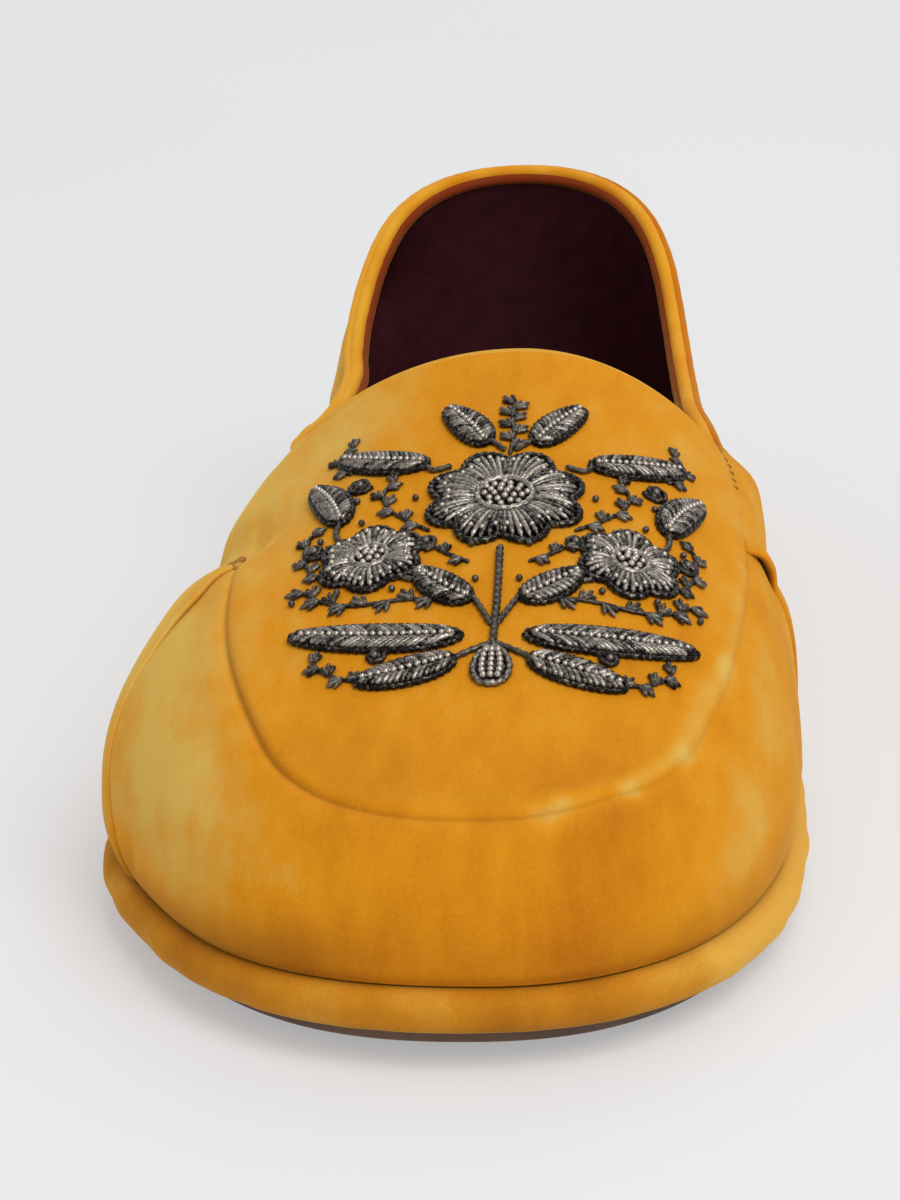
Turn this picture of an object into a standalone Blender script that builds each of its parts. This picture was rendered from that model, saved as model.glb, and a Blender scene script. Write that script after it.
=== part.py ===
"""Velvet slipper loafer: the right shoe of a pair, empty and standing on its sole.

+Z is up, the toe points along -Y and the outer side of the foot is at -X. The origin is on the
floor under the middle of the shoe. Sizes are in metres. Stations run from 0 at the toe to 1 at the
heel, as shares of LENGTH.
"""

import bmesh
import bpy
import numpy as np

# The last, measured at the feather line, where the upper meets the sole
LENGTH = 0.287
BALL_WIDTH = 0.111
INSTEP_HEIGHT = 0.065
BACK_HEIGHT = 0.0605
THROAT_AT = 0.458
THROAT_BOW = 0.006

# The sole, from the floor up
OUTSOLE_THICKNESS = 0.0025
OUTSOLE_INSET = 0.0035
OUTSOLE_BEVEL = 0.0006
HEEL_LIFT = 0.004
BAND_HEIGHT = 0.0075
BAND_OVERHANG = 0.0027
TOE_SPRING = 0.003
INSOLE_THICKNESS = 0.003
INSOLE_CLEARANCE = 0.0006
INSOLE_BEVEL = 0.0008

# Where the toe spring ends, and where the waist starts to climb to the heel's breast, as stations
TOE_SPRING_AT = 0.25
WAIST_AT = 0.54
HEEL_BREAST_AT = 0.735

# The upper
WALL = 0.0024
SEAM_DEPTH = 0.0012
SEAM_PUFF = 0.0006
QUARTER_STEP = 0.0009
NOTCH_FLARE = 0.0022
QUARTER_LEAN = 0.12
BINDING_RADIUS = 0.0019
BINDING_CLEAR = 0.008

# The embroidered spray on the apron, measured along the skin
SPRAY_AT = 0.285
SPRAY_LENGTH = 0.080
SPRAY_THICKNESS = 0.0014
SPRAY_SEAT = 0.0004

# Between any two pieces
GAP = 0.0003

# Mesh steps, and the shares of the length over which the heel's breast and a quarter's edge rise
COLUMNS_A_SIDE = 42
BREAST_STEP = 0.0035
QUARTER_EDGE = 0.006
HEIGHT_STEPS = 161
CHART_STEPS = (90, 60)
COLUMN_SPACING_LEAST = 0.3
MERGE_DISTANCE = 1e-6
SHARP_ANGLE = 50

# Small steps for slopes and normals: round the last, up its half sections and along its ridge
PLAN_NUDGE = 0.02
TURN_NUDGE = 0.004
WAY_NUDGE = 0.003
RIDGE_NUDGE = 0.001
WAY_LIMITS = (0.004, 0.985)


def table(names, *rows):
    """The columns of a table by name, from one row for each section."""
    return dict(zip(names.split(), np.array(rows, float).T))


# Plan of the feather line: middle and half widths as shares of BALL_WIDTH
OUTLINE = table(
    "at     middle  outer  inner",
    (0.00, 0.016, 0.500, 0.458),
    (0.12, 0.012, 0.519, 0.466),
    (0.24, 0.002, 0.547, 0.475),
    (0.34, 0.010, 0.528, 0.468),
    (0.45, 0.016, 0.484, 0.451),
    (0.58, 0.014, 0.405, 0.382),
    (0.70, 0.013, 0.350, 0.344),
    (0.82, 0.013, 0.317, 0.319),
    (1.00, 0.013, 0.304, 0.306),
)
TOE_SPAN, TOE_FULLNESS = 0.27, 2.28
HEEL_SPAN, HEEL_FULLNESS = 0.16, 2.2

# Ridge line of the last: side shift as a share of BALL_WIDTH, height above the feather line as a
# share of INSTEP_HEIGHT. Behind the throat it guides the quarters up to the open topline.
RIDGE = table(
    "at     shift  height",
    (0.06, 0.045, 0.415),
    (0.13, 0.042, 0.508),
    (0.22, 0.043, 0.658),
    (0.32, 0.048, 0.800),
    (0.42, 0.055, 0.922),
    (0.50, 0.054, 1.048),
    (0.60, 0.044, 1.235),
    (0.72, 0.022, 1.395),
    (0.85, 0.002, 1.455),
    (0.95, 0.000, 1.455),
)
RIDGE_TOE, RIDGE_HEEL, RIDGE_BLEND = 0.11, 0.86, 0.035

# Half sections: how high the wall stands before it turns in (share of the ridge height), how far
# it bulges past the feather line (share of BALL_WIDTH) and how flat the top is (share of the way)
SECTION = table(
    "at    rise   outer_bulge  inner_bulge  crown",
    (0.00, 0.80, 0.010, 0.010, 0.62),
    (0.12, 0.78, 0.062, 0.025, 0.57),
    (0.30, 0.72, 0.078, 0.075, 0.54),
    (0.42, 0.69, 0.032, 0.068, 0.56),
    (0.55, 0.64, 0.000, 0.036, 0.56),
    (0.70, 0.59, 0.010, 0.018, 0.52),
    (0.85, 0.55, 0.044, 0.032, 0.56),
    (1.00, 0.53, 0.040, 0.040, 0.65),
)

# Topline height above the feather line, as a share of a height that passes from INSTEP_HEIGHT at
# the throat to BACK_HEIGHT at the heel
TOPLINE = table(
    "at     outer  inner",
    (0.45, 0.752, 0.715),
    (0.53, 0.646, 0.640),
    (0.60, 0.565, 0.596),
    (0.70, 0.512, 0.535),
    (0.80, 0.595, 0.634),
    (0.92, 0.908, 0.902),
    (1.00, 1.000, 1.000),
)

# The apron seam, as a share of the way from the feather line to the ridge
SEAM = table(
    "at     outer  inner",
    (0.00, 0.605, 0.605),
    (0.04, 0.585, 0.580),
    (0.08, 0.583, 0.528),
    (0.13, 0.578, 0.492),
    (0.18, 0.565, 0.467),
    (0.24, 0.550, 0.450),
    (0.31, 0.530, 0.430),
    (0.38, 0.520, 0.432),
    (0.47, 0.520, 0.460),
)
SEAM_TO_THROAT = 0.10

# The front edge of each quarter at the apron seam, and how far behind it its pocket and its step
# over the vamp fade out. The edge leans forward on its way down, back to nothing at LEAN_SPAN.
QUARTER_FRONT = {"outer": 0.310, "inner": 0.355}
POCKET_FADE = 0.06
QUARTER_FADE = 0.20
LEAN_SPAN = 0.62
BOW_SPAN = 0.14

# Rows of the upper's wall: 0 at the feather line, 1 at the apron seam or topline, 2 on the ridge
WALL_ROWS = (0.0, 0.12, 0.26, 0.41, 0.56, 0.71, 0.84, 0.94, 1.0)
APRON_ROWS = (1.0, 1.08, 1.22, 1.42, 1.62, 1.81, 2.0)
SEAM_TENT = 0.06
PUFF_ROW = 0.84
PUFF_TENT = 0.14
POCKET_OPENS, POCKET_CLOSES = (0.50, 0.78), (0.86, 1.02)

# Edge of the velvet band: height as a share of BAND_HEIGHT, reach as a share of BAND_OVERHANG
BAND_EDGE = table(
    "height  reach",
    (0.00, -0.60),
    (0.07, 0.25),
    (0.28, 0.82),
    (0.52, 1.00),
    (0.76, 0.82),
    (0.94, 0.30),
    (1.00, -0.30),
)
FILL_STEPS = (0.45, 0.80, 1.0)

# The spray: places, lengths and radii as shares of SPRAY_LENGTH, across from its centre line and
# up towards the throat, with turns in degrees. Leaves and blossoms are drawn for the inner side and
# mirrored to the outer one.
LEAVES = (
    # name, across, up, turn, length, bend
    ("foot_leaf", 0.075, -0.431, -14, 0.200, 0.15),
    ("low_leaf", 0.065, -0.362, 9, 0.356, 0.20),
    ("inner_leaf", 0.056, -0.250, 44, 0.156, 0.10),
    ("side_leaf", 0.344, 0.075, 66, 0.200, -0.18),
    ("high_leaf", 0.175, 0.250, 28, 0.231, 0.20),
    ("crest_leaf", 0.056, 0.312, 60, 0.181, -0.15),
)
LEAF_WIDTH = 0.0825
LEAF_TAPER = 0.25
FLOWER = {"across": 0.0, "up": 0.106, "radius": 0.169, "petals": 8}
BLOSSOM = {"across": 0.269, "up": -0.081, "radius": 0.110, "petals": 6}
PETAL_DIP = 0.20
BUD = {"across": 0.0, "up": -0.512, "turn": 90, "length": 0.112, "bend": 0.0}
PLATE_RINGS = (1.0, 0.5, 0.0)
PETAL_STEPS = 6
LEAF_STEPS = 16
APRON_FROM = 0.08
APRON_LOWEST_WAY = 0.45

# Finishes: colour, roughness and metallic value
VELVET = ((0.72, 0.36, 0.04), 0.85, 0.0)
LEATHER = ((0.07, 0.04, 0.03), 0.50, 0.0)
LINING = ((0.10, 0.02, 0.03), 0.70, 0.0)
SILVER_THREAD = ((0.22, 0.20, 0.20), 0.45, 0.6)


def curve(columns, name, at):
    """A smooth curve through one column: cubics whose slopes average those of both neighbours."""
    x, y = columns["at"], columns[name]
    step = np.diff(x)
    rate = np.diff(y) / step
    slope = np.empty_like(y)
    slope[1:-1] = (rate[:-1] * step[1:] + rate[1:] * step[:-1]) / (step[:-1] + step[1:])
    slope[0] = 1.5 * rate[0] - 0.5 * slope[1]
    slope[-1] = 1.5 * rate[-1] - 0.5 * slope[-2]
    at = np.clip(np.asarray(at, float), x[0], x[-1])
    i = np.clip(np.searchsorted(x, at, side="right") - 1, 0, len(x) - 2)
    t = (at - x[i]) / step[i]
    rise = y[i] * (1 + 2 * t) * (1 - t) ** 2 + y[i + 1] * t * t * (3 - 2 * t)
    return rise + step[i] * (slope[i] * t * (1 - t) ** 2 + slope[i + 1] * t * t * (t - 1))


def ease(low, high, value):
    """0 below low, 1 above high, and a smooth step between."""
    t = np.clip((value - low) / (high - low), 0.0, 1.0)
    return t * t * (3 - 2 * t)


def station(turn):
    """Share of the length at a turn round the last: 0 at the toe, pi at the heel, outer side first."""
    return (1 - np.cos(turn)) / 2


def is_outer(turn):
    """Whether a turn lies on the outer side of the foot."""
    return np.sin(turn) >= 0


def by_side(columns, outer, inner, turn, at):
    """A table's outer column on the outer side, and its inner column on the inner side."""
    return np.where(is_outer(turn), curve(columns, outer, at), curve(columns, inner, at))


def rounding(distance, span, fullness):
    """Half width of a superellipse end, as a share, at a distance from its tip."""
    left = 1 - np.clip(distance / span, 0, 1)
    return np.maximum(1 - left**fullness, 0) ** (1 / fullness)


def heel_rise(y):
    """How far the foot bed is lifted above the forefoot's, over the heel and at the toe."""
    at = y / LENGTH + 0.5
    toe = TOE_SPRING * np.maximum(1 - at / TOE_SPRING_AT, 0) ** 2
    return HEEL_LIFT * ease(WAIST_AT, HEEL_BREAST_AT, at) + toe


def band_base(y):
    """Height of the velvet band's underside."""
    return OUTSOLE_THICKNESS + GAP + heel_rise(y)


def feather_height(y):
    """Height of the feather line, on the velvet band's top."""
    return band_base(y) + BAND_HEIGHT


def outline(turn, grow=0.0):
    """The feather line in plan, or a line grown outwards from it: superellipse ends on the table."""
    turn = np.asarray(turn, float)

    def base(angle):
        at = station(angle)
        ends = rounding(at, TOE_SPAN, TOE_FULLNESS) * rounding(1 - at, HEEL_SPAN, HEEL_FULLNESS)
        half = by_side(OUTLINE, "outer", "inner", angle, at) * BALL_WIDTH * ends
        x = curve(OUTLINE, "middle", at) * BALL_WIDTH + np.where(is_outer(angle), -half, half)
        return np.stack([x, (at - 0.5) * LENGTH], -1)

    along = base(turn + PLAN_NUDGE) - base(turn - PLAN_NUDGE)
    along /= np.linalg.norm(along, axis=-1, keepdims=True)
    outwards = np.stack([along[..., 1], -along[..., 0]], -1)
    return base(turn) - outwards * grow


def ridge_station(at):
    """The station kept clear of both tips, so that the columns fan round the toe and the heel."""
    at = 0.5 * (at + RIDGE_TOE + np.sqrt((at - RIDGE_TOE) ** 2 + RIDGE_BLEND**2))
    return 0.5 * (at + RIDGE_HEEL - np.sqrt((at - RIDGE_HEEL) ** 2 + RIDGE_BLEND**2))


def ridge_point(at):
    """The ridge line of the last at a station."""
    base = OUTSOLE_THICKNESS + GAP + BAND_HEIGHT
    x = curve(RIDGE, "shift", at) * BALL_WIDTH
    z = base + curve(RIDGE, "height", at) * INSTEP_HEIGHT
    return np.stack([x, (at - 0.5) * LENGTH, z], -1)


def last_point(turn, way):
    """The last's surface: a cubic half section, from the feather line (way 0) to the ridge (way 1)."""
    turn, way = np.broadcast_arrays(np.asarray(turn, float), np.asarray(way, float))
    at = station(turn)
    foot = outline(turn)
    foot_z = feather_height(foot[..., 1]) + GAP
    ridge_at = ridge_station(at)
    top = ridge_point(ridge_at)
    climb = ridge_point(ridge_at + RIDGE_NUDGE) - ridge_point(ridge_at - RIDGE_NUDGE)
    slope = climb[..., 2] / climb[..., 1]
    inwards = top[..., :2] - foot
    reach = np.linalg.norm(inwards, axis=-1)
    inwards = inwards / reach[..., None]
    bulge = by_side(SECTION, "outer_bulge", "inner_bulge", turn, at) * BALL_WIDTH
    flat = curve(SECTION, "crown", at) * reach
    wall = foot - inwards * bulge[..., None]
    wall_z = foot_z + (top[..., 2] - foot_z) * curve(SECTION, "rise", at)
    crown = top[..., :2] - inwards * flat[..., None]
    crown_z = top[..., 2] - slope * inwards[..., 1] * flat
    low = np.concatenate([foot, foot_z[..., None]], -1)
    second = np.concatenate([wall, wall_z[..., None]], -1)
    third = np.concatenate([crown, crown_z[..., None]], -1)
    t = way[..., None]
    return low * (1 - t) ** 3 + 3 * second * (1 - t) ** 2 * t + 3 * third * (1 - t) * t**2 + top * t**3


def last_normal(turn, way):
    """The outward normal of the last's surface, from small steps both ways along it."""
    turn, way = np.broadcast_arrays(np.asarray(turn, float), np.clip(way, *WAY_LIMITS))
    across = last_point(turn + TURN_NUDGE, way) - last_point(turn - TURN_NUDGE, way)
    upwards = last_point(turn, way + WAY_NUDGE) - last_point(turn, way - WAY_NUDGE)
    normal = np.cross(upwards, across)
    return normal / np.linalg.norm(normal, axis=-1, keepdims=True)


def way_at_height(turn, height):
    """How far up each half section a height above the feather line is reached."""
    ways = np.linspace(0, 1, HEIGHT_STEPS)
    points = last_point(turn[:, None], ways[None, :])
    goal = feather_height(points[:, 0, 1]) + height
    return np.array([np.interp(z, column, ways) for z, column in zip(goal, points[..., 2])])


def wall_top(turn):
    """Where the wall ends: on the apron seam in front of the throat, on the topline behind it."""
    turn = np.asarray(turn, float)
    at = station(turn)
    behind = np.maximum(at, THROAT_AT)
    whole = INSTEP_HEIGHT + (BACK_HEIGHT - INSTEP_HEIGHT) * ease(THROAT_AT, 1, behind)
    height = by_side(TOPLINE, "outer", "inner", turn, behind) * whole
    behind_turn = np.arccos(1 - 2 * behind)
    topline = way_at_height(np.where(is_outer(turn), behind_turn, -behind_turn), height)
    seam = by_side(SEAM, "outer", "inner", turn, at)
    at_throat = by_side(SEAM, "outer", "inner", turn, np.full_like(at, THROAT_AT))
    closing = ease(THROAT_AT - SEAM_TO_THROAT, THROAT_AT, at)
    return np.where(at < THROAT_AT, seam + (topline - at_throat) * closing, topline)


def quarter_front(turn):
    """The station at which the quarter of that side starts."""
    return np.where(is_outer(turn), QUARTER_FRONT["outer"], QUARTER_FRONT["inner"])


def relief(turn, row):
    """Steps of the wall: the sunk apron seam and its puffed rim, and the quarter over the vamp."""
    at = station(turn)
    front = 1 - ease(THROAT_AT - SEAM_TO_THROAT, THROAT_AT, at)
    seam = -SEAM_DEPTH * np.clip(1 - np.abs(row - 1) / SEAM_TENT, 0, 1)
    puff = SEAM_PUFF * np.clip(1 - np.abs(row - PUFF_ROW) / PUFF_TENT, 0, 1)
    start = quarter_front(turn)
    edge = np.clip((at - start) / QUARTER_EDGE, 0, 1)
    lap = edge * (1 - ease(start + POCKET_FADE, start + QUARTER_FADE, at))
    lap *= np.clip((1 + SEAM_TENT - row) / SEAM_TENT, 0, 1)
    lip = ease(*POCKET_OPENS, row) * (1 - ease(*POCKET_CLOSES, row))
    pocket = edge * lip * (1 - ease(start, start + POCKET_FADE, at))
    return (seam + puff) * front + QUARTER_STEP * lap + NOTCH_FLARE * pocket


def upper_grid(turns, rows):
    """The outer face of the upper on columns and rows: its wall leans forward to the vamp on the way
    down, and the apron's rear edge bows back to its middle."""
    turn = np.repeat(turns[:, None], len(rows), axis=1)
    row = np.repeat(np.array(rows)[None, :], len(turns), axis=0)
    at = station(turn)
    lean = QUARTER_LEAN * np.sin(np.pi * np.clip(at / LEAN_SPAN, 0, 1)) ** 2 * np.clip(1 - row, 0, 1)
    bow = THROAT_BOW / LENGTH * ease(THROAT_AT - BOW_SPAN, THROAT_AT, at)
    moved = at - lean + bow * np.sin(np.pi / 2 * np.clip(row - 1, 0, 1))
    leaned = np.arccos(np.clip(1 - 2 * moved, -1, 1))
    leaned = np.where(is_outer(turn), leaned, 2 * np.pi - leaned)
    leaned = np.where(moved == at, turn, leaned)
    top = np.repeat(wall_top(turns)[:, None], len(rows), axis=1)
    way = np.where(row <= 1, row * top, top + (row - 1) * (1 - top))
    push = last_normal(leaned, way) * relief(turn, row)[..., None]
    push[..., 2] *= np.clip(row / WALL_ROWS[1], 0, 1)
    return last_point(leaned, way) + push


def turns_with(stations=()):
    """Columns round the shoe, the same on both sides, with one on each of the given stations."""
    even = np.linspace(0, np.pi, COLUMNS_A_SIDE + 1)
    exact = np.arccos(1 - 2 * np.array(sorted(stations))) if stations else np.zeros(0)
    spacing = np.pi / COLUMNS_A_SIDE
    apart = COLUMN_SPACING_LEAST * spacing
    kept = [t for t in even if len(exact) == 0 or np.abs(exact - t).min() > apart]
    side = np.array(sorted(kept + list(exact)))
    return np.concatenate([side, 2 * np.pi - side[-2:0:-1]])


def grid_faces(columns, rows, first=0, closed=False):
    """Quads between neighbouring columns and rows of points numbered column by column."""
    faces = []
    for i in range(columns if closed else columns - 1):
        j = (i + 1) % columns
        for k in range(rows - 1):
            low, next_low = first + i * rows + k, first + j * rows + k
            faces.append((low, low + 1, next_low + 1, next_low))
    return faces


def material(name, finish):
    """A piece's own material, with the colour, roughness and metallic value of its finish."""
    colour, roughness, metallic = finish
    made = bpy.data.materials.new(name)
    made.use_nodes = True
    shader = made.node_tree.nodes["Principled BSDF"]
    shader.inputs["Base Color"].default_value = (*colour, 1.0)
    shader.inputs["Roughness"].default_value = roughness
    shader.inputs["Metallic"].default_value = metallic
    return made


def mesh_object(name, points, faces, finish):
    """A smooth object whose doubles are merged and whose faces point outwards."""
    mesh = bpy.data.meshes.new(name)
    mesh.from_pydata([tuple(map(float, p)) for p in points], [], faces)
    body = bmesh.new()
    body.from_mesh(mesh)
    bmesh.ops.remove_doubles(body, verts=body.verts, dist=MERGE_DISTANCE)
    bmesh.ops.dissolve_degenerate(body, edges=body.edges, dist=MERGE_DISTANCE)
    bmesh.ops.recalc_face_normals(body, faces=body.faces)
    body.to_mesh(mesh)
    body.free()
    mesh.shade_smooth()
    mesh.set_sharp_from_angle(angle=np.radians(SHARP_ANGLE))
    mesh.materials.append(material(name, finish))
    obj = bpy.data.objects.new(name, mesh)
    shoe.objects.link(obj)
    return obj


def spine_point(turn):
    """The line down the middle of the sole on which each piece's fill closes."""
    at = ridge_station(station(turn))
    return np.stack([curve(OUTLINE, "middle", at) * BALL_WIDTH, (at - 0.5) * LENGTH], -1)


def at_height(plan, height):
    """Points of a plan, each at the height that a function gives for its place along the shoe."""
    return np.concatenate([plan, height(plan[..., 1])[..., None]], -1)


def slab(name, turns, edge, bottom, top, finish):
    """A closed slab: an edge of (grow, share of height) rows, and a top and bottom closed on the spine."""
    spine = spine_point(turns)

    def fill(start, height):
        return [at_height(start + (spine - start) * step, height) for step in FILL_STEPS]

    def between(share):
        return lambda y: bottom(y) + (top(y) - bottom(y)) * share

    rings = fill(outline(turns, edge[0][0]), bottom)[::-1]
    rings += [at_height(outline(turns, grow), between(share)) for grow, share in edge]
    rings += fill(outline(turns, edge[-1][0]), top)
    grid = np.stack(rings, 1)
    faces = grid_faces(len(turns), len(rings), closed=True)
    return mesh_object(name, grid.reshape(-1, 3), faces, finish)


def make_outsole():
    """Leather outsole: flat under the forefoot, raised at the waist, with a low heel in one with it."""
    breast = (HEEL_BREAST_AT - BREAST_STEP, HEEL_BREAST_AT + BREAST_STEP)

    def bottom(y):
        on_heel = ease(*breast, y / LENGTH + 0.5)
        return heel_rise(y) * (1 - on_heel)

    def top(y):
        return band_base(y) - GAP

    inset = -OUTSOLE_INSET
    edge = ((inset - OUTSOLE_BEVEL, 0.0), (inset, OUTSOLE_BEVEL / OUTSOLE_THICKNESS), (inset, 1.0))
    return slab("outsole", turns_with(breast), edge, bottom, top, LEATHER)


def make_sole_band():
    """The velvet-covered platform, whose rounded edge shows all round under the upper."""
    edge = tuple(zip(BAND_EDGE["reach"] * BAND_OVERHANG, BAND_EDGE["height"]))
    return slab("sole_band", turns_with(), edge, band_base, feather_height, VELVET)


def make_insole():
    """The foot bed inside the upper, on the platform."""
    inset = -(WALL + INSOLE_CLEARANCE)

    def bottom(y):
        return feather_height(y) + GAP

    def top(y):
        return bottom(y) + INSOLE_THICKNESS

    edge = ((inset, 0.0), (inset, 1 - INSOLE_BEVEL / INSOLE_THICKNESS), (inset - INSOLE_BEVEL, 1.0))
    return slab("insole", turns_with(), edge, bottom, top, LINING)


def upper_turns():
    """The upper's columns, with one at the throat and two at each quarter's front edge."""
    stations = [THROAT_AT]
    for start in QUARTER_FRONT.values():
        stations += [start, start + QUARTER_EDGE]
    return turns_with(stations)


def make_upper():
    """The hollow upper: a wall ring all round and an apron over the forefoot, one skin thick."""
    turns = upper_turns()
    ring = upper_grid(turns, WALL_ROWS)
    points = [ring.reshape(-1, 3)]
    faces = grid_faces(len(turns), len(WALL_ROWS), closed=True)
    outer_side = turns[is_outer(turns) & (station(turns) <= THROAT_AT + MERGE_DISTANCE)]
    for columns in (outer_side, 2 * np.pi - outer_side):
        apron = upper_grid(columns, APRON_ROWS)
        first = sum(len(p) for p in points)
        points.append(apron.reshape(-1, 3))
        faces += grid_faces(len(columns), len(APRON_ROWS), first=first)
    obj = mesh_object("upper", np.concatenate(points), faces, VELVET)
    skin = obj.modifiers.new("wall", "SOLIDIFY")
    skin.thickness = WALL
    skin.offset = -1.0
    skin.use_even_offset = True
    return obj


def make_binding():
    """The rolled velvet binding that rides on the topline, from one end of the throat to the other."""
    turns = upper_turns()
    turns = turns[station(turns) > THROAT_AT + BINDING_CLEAR / LENGTH]
    turns = np.sort(np.concatenate([turns, (turns[1:] + turns[:-1]) / 2]))
    top = upper_grid(turns, (1.0,))[:, 0]
    along = np.gradient(top, axis=0)
    outwards = last_normal(turns, wall_top(turns))
    away = np.cross(outwards, along)
    away *= np.sign(away[:, 2:]) / np.linalg.norm(away, axis=-1, keepdims=True)
    path = top - outwards * WALL / 2 + away * (BINDING_RADIUS + GAP)
    line = bpy.data.curves.new("binding", "CURVE")
    line.dimensions = "3D"
    line.bevel_depth = BINDING_RADIUS
    line.bevel_resolution = 2
    line.use_fill_caps = True
    spline = line.splines.new("POLY")
    spline.points.add(len(path) - 1)
    spline.points.foreach_set("co", np.column_stack([path, np.ones(len(path))]).ravel())
    obj = bpy.data.objects.new("binding", line)
    shoe.objects.link(obj)
    line.materials.append(material("binding", VELVET))
    return obj


def apron_chart(across, up):
    """Turn and way on the apron of places given by their distance from its centre along the skin."""
    stations = np.linspace(APRON_FROM, THROAT_AT, CHART_STEPS[0])
    ways = np.linspace(1.0, APRON_LOWEST_WAY, CHART_STEPS[1])
    ridge = ridge_point(ridge_station(stations))
    length = np.concatenate([[0], np.cumsum(np.linalg.norm(np.diff(ridge, axis=0), axis=1))])
    centre = np.interp(SPRAY_AT, stations, length)
    at = np.interp(up + centre, length, stations)
    turn = np.arccos(1 - 2 * at)
    turn = np.where(across > 0, 2 * np.pi - turn, turn)
    columns = last_point(turn[:, None], ways[None, :])
    reach = np.cumsum(np.linalg.norm(np.diff(columns, axis=1), axis=2), axis=1)
    reach = np.concatenate([np.zeros((len(turn), 1)), reach], axis=1)
    way = np.array([np.interp(abs(a), r, ways) for a, r in zip(across, reach)])
    return turn, way


def plate(name, loops, side):
    """A thin closed plate on the apron, from flat loops that shrink from its rim to its centre."""
    points = []
    for lift in (SPRAY_SEAT, SPRAY_SEAT + SPRAY_THICKNESS):
        for across, up in loops:
            turn, way = apron_chart(across * side * SPRAY_LENGTH, up * SPRAY_LENGTH)
            points.append(last_point(turn, way) + last_normal(turn, way) * lift)
    count = len(loops)
    order = list(range(count))[::-1] + list(range(count, 2 * count))
    grid = np.stack([points[k] for k in order], 1)
    faces = grid_faces(grid.shape[0], grid.shape[1], closed=True)
    return mesh_object(name, grid.reshape(-1, 3), faces, SILVER_THREAD)


def make_flower(name, across, up, radius, petals, side=1):
    """A round blossom: its rim swells and dips once for each petal."""
    angle = np.linspace(0, 2 * np.pi, PETAL_STEPS * petals, endpoint=False)
    rim = radius * (1 - PETAL_DIP + PETAL_DIP * np.abs(np.sin(petals * angle / 2)))
    loops = [
        (across + rim * ring * np.cos(angle), up + rim * ring * np.sin(angle))
        for ring in PLATE_RINGS
    ]
    return plate(name, loops, side)


def make_leaf(name, across, up, turn, length, bend, side=1):
    """A pointed leaf: a lens on a stalk line that curves to one side."""
    angle = np.linspace(0, 2 * np.pi, LEAF_STEPS, endpoint=False)
    heading = np.radians(turn)
    loops = []
    for ring in PLATE_RINGS:
        along = 0.5 - 0.5 * np.cos(angle) * ring
        half = 0.5 * LEAF_WIDTH * np.sin(angle) * ring * (1 - LEAF_TAPER * along)
        sideways = half + bend * length * along * (along - 1)
        leaf_across = across + np.cos(heading) * along * length - np.sin(heading) * sideways
        leaf_up = up + np.sin(heading) * along * length + np.cos(heading) * sideways
        loops.append((leaf_across, leaf_up))
    return plate(name, loops, side)


def make_spray():
    """The silver spray: one flower, two blossoms, mirrored leaves and a bud at the foot."""
    make_flower("flower", **FLOWER)
    for side, word in ((-1, "outer"), (1, "inner")):
        make_flower(f"blossom_{word}", **BLOSSOM, side=side)
        for name, *shape in LEAVES:
            make_leaf(f"{name}_{word}", *shape, side=side)
    make_leaf("bud", **BUD)


def centre_on_origin():
    """Move every piece by one step, so that the origin is under the middle of the shoe."""
    bpy.context.view_layer.update()
    graph = bpy.context.evaluated_depsgraph_get()
    low, high = np.full(3, np.inf), np.full(3, -np.inf)
    for obj in shoe.objects:
        drawn = obj.evaluated_get(graph)
        mesh = drawn.to_mesh()
        points = np.empty(len(mesh.vertices) * 3)
        mesh.vertices.foreach_get("co", points)
        points = points.reshape(-1, 3)
        low = np.minimum(low, points.min(0))
        high = np.maximum(high, points.max(0))
        drawn.to_mesh_clear()
    for obj in shoe.objects:
        obj.location = (-(low[0] + high[0]) / 2, -(low[1] + high[1]) / 2, -low[2])


for old in list(bpy.data.objects):
    bpy.data.objects.remove(old, do_unlink=True)

shoe = bpy.data.collections.new("velvet_slipper_loafer")
bpy.context.scene.collection.children.link(shoe)

make_outsole()
make_sole_band()
make_insole()
make_upper()
make_binding()
make_spray()
centre_on_origin()
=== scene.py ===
"""Looks of a velvet slipper loafer: velvet, lining, rolled binding and a silver embroidered spray.

+Z is up, the toe points along -Y and the outer side of the foot is at -X. All lengths are in metres.
The last's own functions and tables are repeated here, so that every skin lies on the solid it shows.
A place on the upper has a station, its share of the length from the toe, and a row: 0 at the feather
line, 1 at the apron seam or topline, 2 on the ridge.
"""

import bmesh
import bpy
import numpy as np
from mathutils import Matrix, Vector


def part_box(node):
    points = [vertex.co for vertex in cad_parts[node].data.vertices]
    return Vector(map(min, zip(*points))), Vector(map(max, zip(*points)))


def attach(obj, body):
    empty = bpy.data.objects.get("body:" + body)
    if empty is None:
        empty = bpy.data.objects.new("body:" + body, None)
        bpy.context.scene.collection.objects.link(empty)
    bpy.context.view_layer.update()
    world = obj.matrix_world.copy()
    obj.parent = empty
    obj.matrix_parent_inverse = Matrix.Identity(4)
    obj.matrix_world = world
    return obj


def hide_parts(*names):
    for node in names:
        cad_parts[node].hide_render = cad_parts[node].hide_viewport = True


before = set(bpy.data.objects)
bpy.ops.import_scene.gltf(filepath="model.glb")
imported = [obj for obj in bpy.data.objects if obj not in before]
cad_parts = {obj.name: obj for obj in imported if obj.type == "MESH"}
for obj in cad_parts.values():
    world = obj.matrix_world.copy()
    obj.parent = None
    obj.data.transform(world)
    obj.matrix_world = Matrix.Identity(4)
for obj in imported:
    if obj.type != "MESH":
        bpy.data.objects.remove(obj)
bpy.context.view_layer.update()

MM = 0.001
# Points closer than this are merged where a skin closes in a pole or a seam
MERGE = 2e-6

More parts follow.
